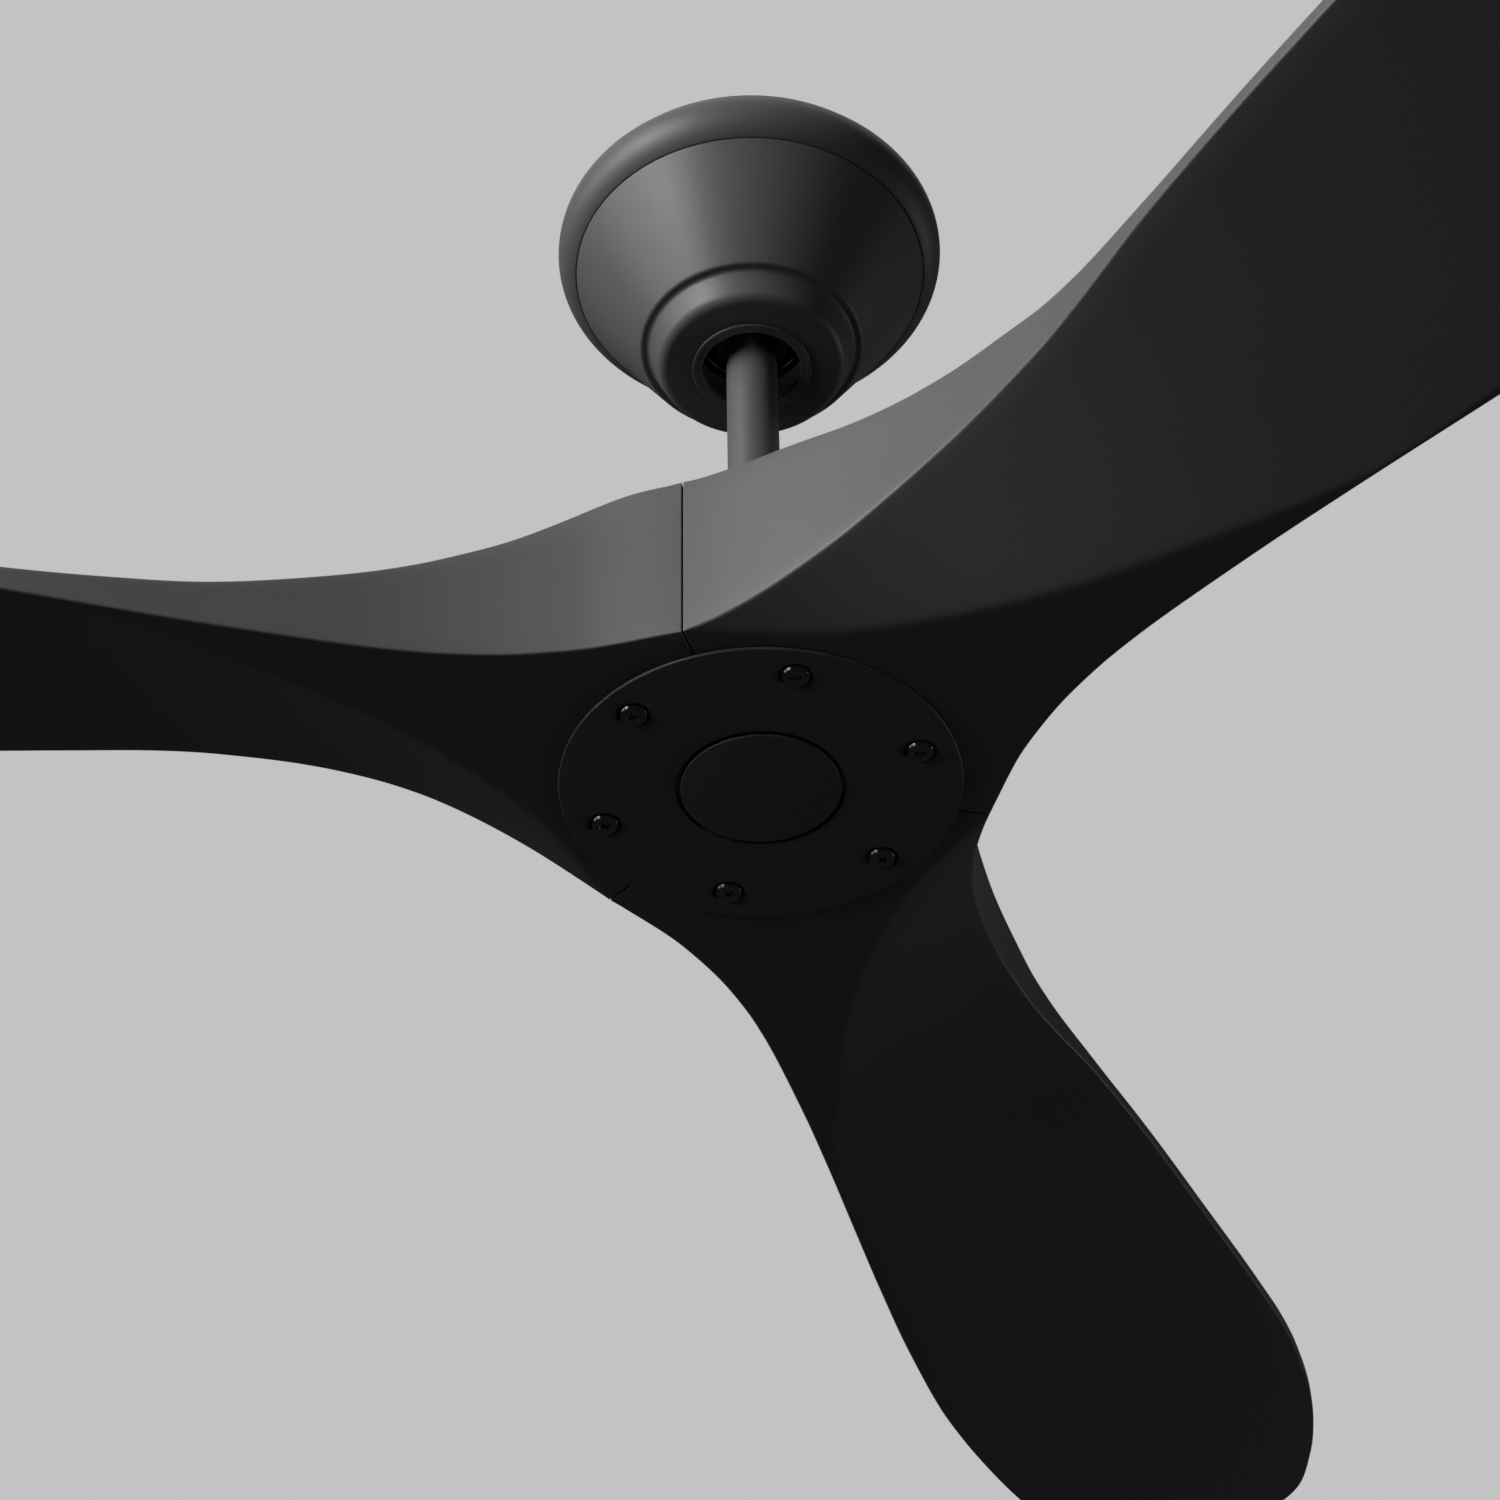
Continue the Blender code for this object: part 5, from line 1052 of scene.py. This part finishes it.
SPREADS = {"lead": 16.0, "trail": 16.0, "low_lead": 20.0, "top_lead": 24.0, "top_trail": 24.0,
           "fold": 24.0}
LEAD_NECK = ((0.07, 0.16), (0.14, 0.3), (0.25, 0.49), (0.32, 0.59), (0.4, 0.69), (0.54, 0.835),
             (0.685, 0.93), (0.865, 0.99))
LEAD_BELLY = ((0.12, 0.06), (0.18, 0.13), (0.29, 0.30), (0.43, 0.48), (0.63, 0.69), (0.84, 0.90),
              (0.94, 0.98))
LEAD_TIP = ((0.133, 0.001), (0.266, 0.013), (0.392, 0.04), (0.517, 0.083), (0.643, 0.143),
            (0.755, 0.219), (0.867, 0.326), (0.902, 0.393), (0.937, 0.514), (0.965, 0.66),
            (0.986, 0.85))
TRAIL_NECK = ((0.07, 0.13), (0.14, 0.27), (0.29, 0.54), (0.40, 0.68), (0.51, 0.80), (0.61, 0.88),
              (0.83, 0.98))
TRAIL_BELLY = ((0.16, 0.08), (0.32, 0.26), (0.49, 0.51), (0.66, 0.75), (0.85, 0.95))
TRAIL_TIP = ((0.065, 0.003), (0.207, 0.034), (0.359, 0.092), (0.521, 0.178), (0.691, 0.31),
             (0.829, 0.463), (0.922, 0.632), (0.972, 0.8))
LEAD_RISE = ((0.02, 0.012), (0.04, 0.05), (0.075, 0.107), (0.13, 0.213), (0.2, 0.352), (0.28, 0.5),
             (0.352, 0.625), (0.444, 0.737), (0.54, 0.815), (0.63, 0.87), (0.72, 0.91),
             (0.81, 0.95), (0.91, 0.98))
LEAD_FALL = ((0.018, 0.013), (0.054, 0.037), (0.089, 0.083), (0.125, 0.133), (0.196, 0.232),
             (0.286, 0.352), (0.375, 0.461), (0.464, 0.565), (0.554, 0.7), (0.643, 0.813),
             (0.732, 0.9), (0.821, 0.96), (0.911, 0.99))
TRAIL_FALL = ((0.017, 0.03), (0.028, 0.048), (0.05, 0.102), (0.073, 0.159), (0.117, 0.266),
              (0.162, 0.359), (0.218, 0.477), (0.274, 0.58), (0.33, 0.672), (0.385, 0.754),
              (0.441, 0.817), (0.497, 0.859), (0.553, 0.898), (0.609, 0.93), (0.665, 0.955),
              (0.75, 0.98))
CREASE = ((0.06, 0.126), (0.136, 0.288), (0.196, 0.384), (0.262, 0.466), (0.332, 0.548),
          (0.402, 0.618), (0.481, 0.689), (0.561, 0.747), (0.636, 0.798), (0.715, 0.845),
          (0.794, 0.894), (0.874, 0.938), (0.953, 0.975))


@dataclass
class Hub:
    """The blade plate with its screws and cap, and the disc on top of the hub."""

    radius: float = 0.075
    flange: float = 0.0015
    spigot: float = 0.070
    thickness: float = 0.0046
    face: float = 0.0007
    bevel: float = 0.0004
    bore: float = 0.0316
    ledge: float = 0.027
    ledge_height: float = 0.0032
    recess: float = 0.0059
    recess_depth: float = 0.0019
    recess_flare: float = 0.0010
    cap: float = 0.0298
    cap_top: float = 0.0029
    proud: float = 0.0005
    dome: float = 0.0012
    clip: float = 0.0034
    clip_wall: float = 0.002
    head: float = 0.0055
    head_height: float = 0.0024
    crown: float = 0.0048
    crown_sag: float = 0.00005
    slope_radius: float = 0.007
    slope_turn: tuple[float, float] = (-33.0, -21.5)
    slope_step: float = 0.0001
    shank: float = 0.0025
    shank_end: float = 0.0121
    cross_half: tuple[float, float] = (0.0026, 0.00055)
    cross_depth: float = 0.0011
    screw_turn: float = 0.7
    top_low: float = 0.0783
    top_height: float = 0.0012
    top_bore: float = 0.022
    top_radius: float = 0.084
    top_hole: float = 0.0015

    def screw_angles(self) -> list[float]:
        """Give the angle of each blade screw in radians, two to a blade."""
        return [FIRST_BLADE + 2.0 * math.pi * index / BLADE_COUNT + math.radians(side)
                for index in range(BLADE_COUNT) for side in SCREW_SIDES]

    def build(self) -> None:
        """Make plate, cap, screws and the top disc."""
        self.build_plate()
        self.build_cap()
        self.build_screws()
        self.build_top()

    def build_plate(self) -> None:
        """Make the plate with a dished seat for each screw."""
        corners = [(self.bore, self.face), (self.radius - self.bevel, self.face),
                   (self.radius, self.flange - 0.0001), (self.radius, self.flange),
                   (self.spigot, self.flange), (self.spigot, self.thickness),
                   (self.ledge, self.thickness), (self.ledge, self.ledge_height),
                   (self.bore, self.ledge_height)]
        radii = [0.0001, 0.0001, 0.0, 0.0, 0.0002, 0.0003, 0.0003, 0.0003, 0.0002]
        plate = turned("hub_plate", corners, radii, 240, PLATE_Z)
        mouth, depth, end = self.recess + self.recess_flare, self.recess_depth, self.thickness + OVERCUT
        dish = arc((mouth, self.recess_flare), self.recess_flare, -90.0, -180.0, 8)
        outline = [(0.0, -OVERCUT), (mouth, -OVERCUT), *dish, (self.recess, depth),
                   (SCREW_HOLE, depth), (SCREW_HOLE, end), (0.0, end)]
        tools = [round_tool(outline, 64, Matrix.Translation(on_circle(angle, PLATE_Z + self.face)))
                 for angle in self.screw_angles()]
        seat(carve(plate, tools), SATIN, "rotor", "blade_plate")

    def build_cap(self) -> None:
        """Make the centre cap, slightly domed, with a skirt that clips through the plate.

        The dome's height over the cap's rim is dome times (1 - (r / cap)^2).
        """
        dome = [(radius, self.face - self.proud - self.dome * (1.0 - (radius / self.cap) ** 2))
                for radius in np.linspace(0.0, self.cap, 24)]
        top, skirt, end = self.cap_top, self.ledge - GAP, self.cap_top + self.clip
        inner = skirt - self.clip_wall
        corners = dome + [(self.cap, top), (skirt, top), (skirt, end), (inner, end), (inner, top), (0.0, top)]
        radii = [0.0] * (len(dome) - 1) + [0.0003, 0.0002, 0.0, 0.0003, 0.0003, 0.0, 0.0]
        seat(turned("hub_cap", corners, radii, 192, PLATE_Z), SATIN, "rotor", "centre_cap")

    def build_screws(self) -> None:
        """Make the six screws, with a nearly flat crown, a sloping rim and a cross recess.

        The crown sags by crown_sag times (r / crown)^2, and the slope is an arc.
        """
        height, start = self.head_height, math.radians(self.slope_turn[0])
        flat = [(radius, self.crown_sag * (radius / self.crown) ** 2 - height)
                for radius in np.linspace(0.0, self.crown, 8)]
        centre = (self.crown - self.slope_radius * math.cos(start),
                  self.slope_step - height - self.slope_radius * math.sin(start))
        slope = arc(centre, self.slope_radius, *self.slope_turn, 8)
        corners = flat + slope + [(self.head, 0.0), (self.shank, 0.0), (self.shank, self.shank_end),
                                  (0.0, self.shank_end)]
        radii = [0.0] * 7 + [0.0002] + [0.0] * len(slope) + [0.0, 0.0, 0.0003, 0.0]
        master = turned("screw_master", corners, radii, 64)
        carve(master, [cross_tool(*self.cross_half, -height - 0.001, self.cross_depth - height, side)
                       for side in (0, 1)])
        seat_height = PLATE_Z + self.face + self.recess_depth - GAP
        for index, angle in enumerate(self.screw_angles()):
            turn = Matrix.Rotation(angle + self.screw_turn * index, 4, "Z")
            place = Matrix.Translation(on_circle(angle, seat_height)) @ turn
            item = placed_copy(master, "plate_screw_%d" % (index + 1), place)
            seat(item, SCREW, "rotor", "blade_screw_%d" % (index + 1))
        bpy.data.objects.remove(master, do_unlink=True)

    def build_top(self) -> None:
        """Make the disc that closes the hub from above, with holes for its three screws."""
        low, high = self.top_low, self.top_low + self.top_height
        corners = [(self.top_bore, low), (self.top_radius, low), (self.top_radius, high),
                   (self.top_bore, high)]
        disc = turned("hub_top_disc", corners, [0.0002, 0.0002, 0.0005, 0.0003], 192, PLATE_Z)
        tools = []
        for index in range(BLADE_COUNT):
            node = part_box("cover_screw_%d" % (index + 1))
            middle = (Vector(node[0]) + Vector(node[1])) / 2.0
            tools.append(hole_tool(self.top_hole, PLATE_Z + low - OVERCUT, PLATE_Z + high + OVERCUT,
                                   (middle.x, middle.y, 0.0)))
        seat(carve(disc, tools), SATIN, "rotor", "motor_top_cover")


def cross_tool(half_long: float, half_wide: float, low: float, high: float, side: int) -> bpy.types.Object:
    """Make one bar of a cross recess, which narrows towards its floor.

    Args:
        half_long: Half its length at the mouth.
        half_wide: Half its width at the mouth.
        low: Height of its mouth.
        high: Height of its floor.
        side: 0 for the bar along X, 1 for the bar along Y.

    Returns:
        The cutter.
    """
    corners, mouth_share, floor_share, width_taper = [], 1.15, 0.55, 0.4
    for height, share in ((low, mouth_share), (high, floor_share)):
        for sx, sy in ((-1, -1), (1, -1), (1, 1), (-1, 1)):
            long, wide = sx * half_long * share, sy * half_wide * (1.0 - width_taper + width_taper * share)
            corners.append((long, wide, height) if side == 0 else (-wide, long, height))
    faces = [(0, 3, 2, 1), (4, 5, 6, 7), (0, 1, 5, 4), (1, 2, 6, 5), (2, 3, 7, 6), (3, 0, 4, 7)]
    return make_mesh("tool", np.array(corners), faces)


@dataclass(frozen=True)
class Lamp:
    """One soft lamp: where it hangs, how large it is and how strong."""

    name: str
    place: tuple[float, float, float]
    size: tuple[float, float]
    power: float


@dataclass
class Studio:
    """Camera, lamps, backdrop and floor."""

    focal_pixels: float = 3198.5
    frame_pixels: float = 1500.0
    sensor: float = 36.0
    pitch: float = math.radians(41.951)
    yaw: float = math.radians(-0.242)
    roll: float = math.radians(1.081)
    place: tuple[float, float, float] = (0.0, -0.88974, -1.09913)
    aim: tuple[float, float, float] = (0.0, 0.0, -0.25)
    pale: float = 0.546
    room_light: float = 0.005
    floor_light: float = 0.0025
    floor_shade: float = 0.05
    room_gloss_share: float = 0.1
    floor_height: float = -4.2
    floor_reach: float = 40.0
    backdrop_radius: float = 30.0
    backdrop_rim: float = math.radians(50.0)
    lamps: tuple[Lamp, ...] = (
        Lamp("key", (-1.88, -1.76, 0.36), (0.8, 0.9), 42.0),
        Lamp("key_low", (-1.88, -1.76, -0.48), (0.8, 0.85), 14.0),
        Lamp("key_high", (-1.65, -1.54, 1.30), (0.8, 0.8), 12.0),
        Lamp("side", (-2.40, -0.95, 0.16), (2.0, 1.6), 36.0),
        Lamp("fill", (2.20, 0.90, -0.72), (0.5, 0.5), 4.2),
        Lamp("glint", (2.40, 0.30, -0.25), (0.25, 0.25), 0.8),
    )

    def build(self) -> None:
        """Set up everything round the fan."""
        self.build_camera()
        self.build_world()
        for lamp in self.lamps:
            self.hang(lamp)
        self.build_floor()
        self.build_backdrop()
        bpy.context.scene.view_settings.view_transform = "Standard"

    def build_camera(self) -> None:
        """Aim the camera: pitched up, turned a little aside and rolled a little."""
        ahead = Vector((math.sin(self.yaw) * math.cos(self.pitch),
                        math.cos(self.yaw) * math.cos(self.pitch), math.sin(self.pitch)))
        right = Vector((math.cos(self.yaw), -math.sin(self.yaw), 0.0))
        down = ahead.cross(right)
        across = math.cos(self.roll) * right + math.sin(self.roll) * down
        under = -math.sin(self.roll) * right + math.cos(self.roll) * down
        data = bpy.data.cameras.new("camera")
        data.sensor_width = self.sensor
        data.lens = self.focal_pixels / self.frame_pixels * self.sensor
        data.clip_start, data.clip_end = 0.01, 200.0
        camera = bpy.data.objects.new("camera", data)
        bpy.context.scene.collection.objects.link(camera)
        turn = Matrix((across, -under, -ahead)).transposed().to_4x4()
        camera.matrix_world = Matrix.Translation(self.place) @ turn
        bpy.context.scene.camera = camera

    def build_world(self) -> None:
        """Show a pale room to the camera and through glass, and light the rest dimly."""
        world = bpy.data.worlds.new("room")
        bpy.context.scene.world = world
        graph = Graph("room", world)
        shader = self.pale_shader(graph, "ShaderNodeBackground", self.room_gloss_share)
        graph.node("ShaderNodeOutputWorld", {}, {"Surface": shader})

    def shown_to(self, graph: Graph, gloss_share: float) -> Signal:
        """Tell the rays that see the pale background from those that only gather light.

        Args:
            graph: The nodes of the background.
            gloss_share: How much of the background gloss shows.

        Returns:
            1 for camera rays and rays through glass, the share for gloss and 0 for the rest.
        """
        path = graph.node("ShaderNodeLightPath")
        camera, glass, gloss = (Signal(graph, path.outputs[ray]) for ray in
                                ("Is Camera Ray", "Is Transmission Ray", "Is Glossy Ray"))
        return (camera + glass + gloss * gloss_share).clamped()

    def pale_shader(self, graph: Graph, kind: str, gloss_share: float) -> bpy.types.NodeSocket:
        """Mix a dim light with the pale background that some rays see.

        Args:
            graph: The nodes of the background.
            kind: The type of the shader node that shines.
            gloss_share: How much of the background gloss shows.

        Returns:
            The mixed shader.
        """
        dim = graph.node(kind, {}, {"Color": WHITE, "Strength": self.room_light})
        pale = graph.node(kind, {}, {"Color": (self.pale,) * 3 + (1.0,), "Strength": 1.0})
        seen = self.shown_to(graph, gloss_share)
        mix = graph.node("ShaderNodeMixShader", {}, {0: seen, 1: dim.outputs[0], 2: pale.outputs[0]})
        return mix.outputs[0]

    def hang(self, lamp: Lamp) -> None:
        """Hang one soft lamp and aim it at the fan."""
        data = bpy.data.lights.new(lamp.name, "AREA")
        data.shape = "RECTANGLE"
        data.size, data.size_y = lamp.size
        data.energy = lamp.power
        item = bpy.data.objects.new(lamp.name, data)
        item.visible_camera = False
        aim = Vector(self.aim) - Vector(lamp.place)
        item.matrix_world = Matrix.Translation(lamp.place) @ aim.to_track_quat("-Z", "Y").to_matrix().to_4x4()
        bpy.context.scene.collection.objects.link(item)

    def build_backdrop(self) -> None:
        """Raise the pale backdrop over the fan, for the camera, for gloss and through glass.

        It is a bowl turned over: the point r (cos a cos t, cos a sin t, sin a), with the height
        angle a from the rim's angle to a right angle and t right round.
        """
        rings, sides = 13, 48
        climb = np.linspace(self.backdrop_rim, math.pi / 2.0, rings)[:, None]
        turn = np.arange(sides) * (2.0 * math.pi / sides)
        points = self.backdrop_radius * np.stack([np.cos(climb) * np.cos(turn), np.cos(climb) * np.sin(turn),
                                                  np.sin(climb) * np.ones(sides)], axis=2)
        bowl = make_mesh("backdrop", points.reshape(-1, 3), grid_quads(rings, sides, False))
        graph = Graph("backdrop")
        shader = self.pale_shader(graph, "ShaderNodeEmission", 1.0)
        graph.node("ShaderNodeOutputMaterial", {}, {"Surface": shader})
        bowl.data.materials.append(graph.material)

    def build_floor(self) -> None:
        """Lay a wide pale floor far below the fan, which keeps the fan's shadow."""
        reach, low = self.floor_reach, self.floor_height
        corners = np.array([(x * reach, y * reach, low) for x, y in ((-1, -1), (1, -1), (1, 1), (-1, 1))])
        floor = make_mesh("floor", corners, [(0, 1, 2, 3)])
        graph = Graph("floor")
        seen = self.shown_to(graph, self.room_gloss_share)
        plain = graph.node("ShaderNodeBsdfDiffuse", {}, {"Color": (self.floor_shade,) * 3 + (1.0,)})
        glow = graph.node("ShaderNodeEmission", {}, {
            "Color": WHITE, "Strength": seen * (self.pale - self.floor_light) + self.floor_light})
        both = graph.node("ShaderNodeAddShader", {}, {0: plain.outputs[0], 1: glow.outputs[0]})
        graph.node("ShaderNodeOutputMaterial", {}, {"Surface": both.outputs[0]})
        floor.data.materials.append(graph.material)


def dress_frame() -> None:
    """Paint the CAD nodes that keep their own shape."""
    rings = ["%s_bearing_%s_ring" % (place, race) for race in ("inner", "outer")
             for place in ("lower", "upper")]
    PAINTS.dress(ZINC, ["bracket_screw_1", "bracket_screw_2", "ball_cross_pin", "ball_grub_screw",
                        "motor_coupling", "clevis_pin", "hairpin_clip", "coupling_grub_screw_1",
                        "coupling_grub_screw_2", "rotor_screw_1", "rotor_screw_2", "rotor_screw_3"])
    PAINTS.dress(SCREW, ["canopy_screw_1", "canopy_screw_2"])
    PAINTS.dress(SATIN, ["cover_screw_1", "cover_screw_2", "cover_screw_3"])
    PAINTS.dress(RUBBER, ["motor_lead"])
    PAINTS.dress(STEEL, ["hanger_bracket", "shaft_circlip"])
    PAINTS.dress(ALLOY, ["rotor_base", "rotor_lid"])
    PAINTS.dress(BEARING, ["motor_shaft", *rings])
    PAINTS.dress(CORE, ["stator_core"])
    PAINTS.dress(COPPER, ["stator_coil_%d" % number for number in range(1, 10)])
    PAINTS.dress(FERRITE, ["magnet_ring"])
    PAINTS.dress(PLASTIC, ["receiver_tray", "receiver_lid", "hanger_ball"])
    PAINTS.dress(BOARD, ["receiver_board"])


def main() -> None:
    """Build the looks in order."""
    logging.basicConfig(level=logging.INFO, format="%(message)s")
    Studio().build()
    dress_frame()
    Canopy().build()
    Downrod().build()
    Hub().build()
    Blade().build()


if __name__ == "__main__":
    main()
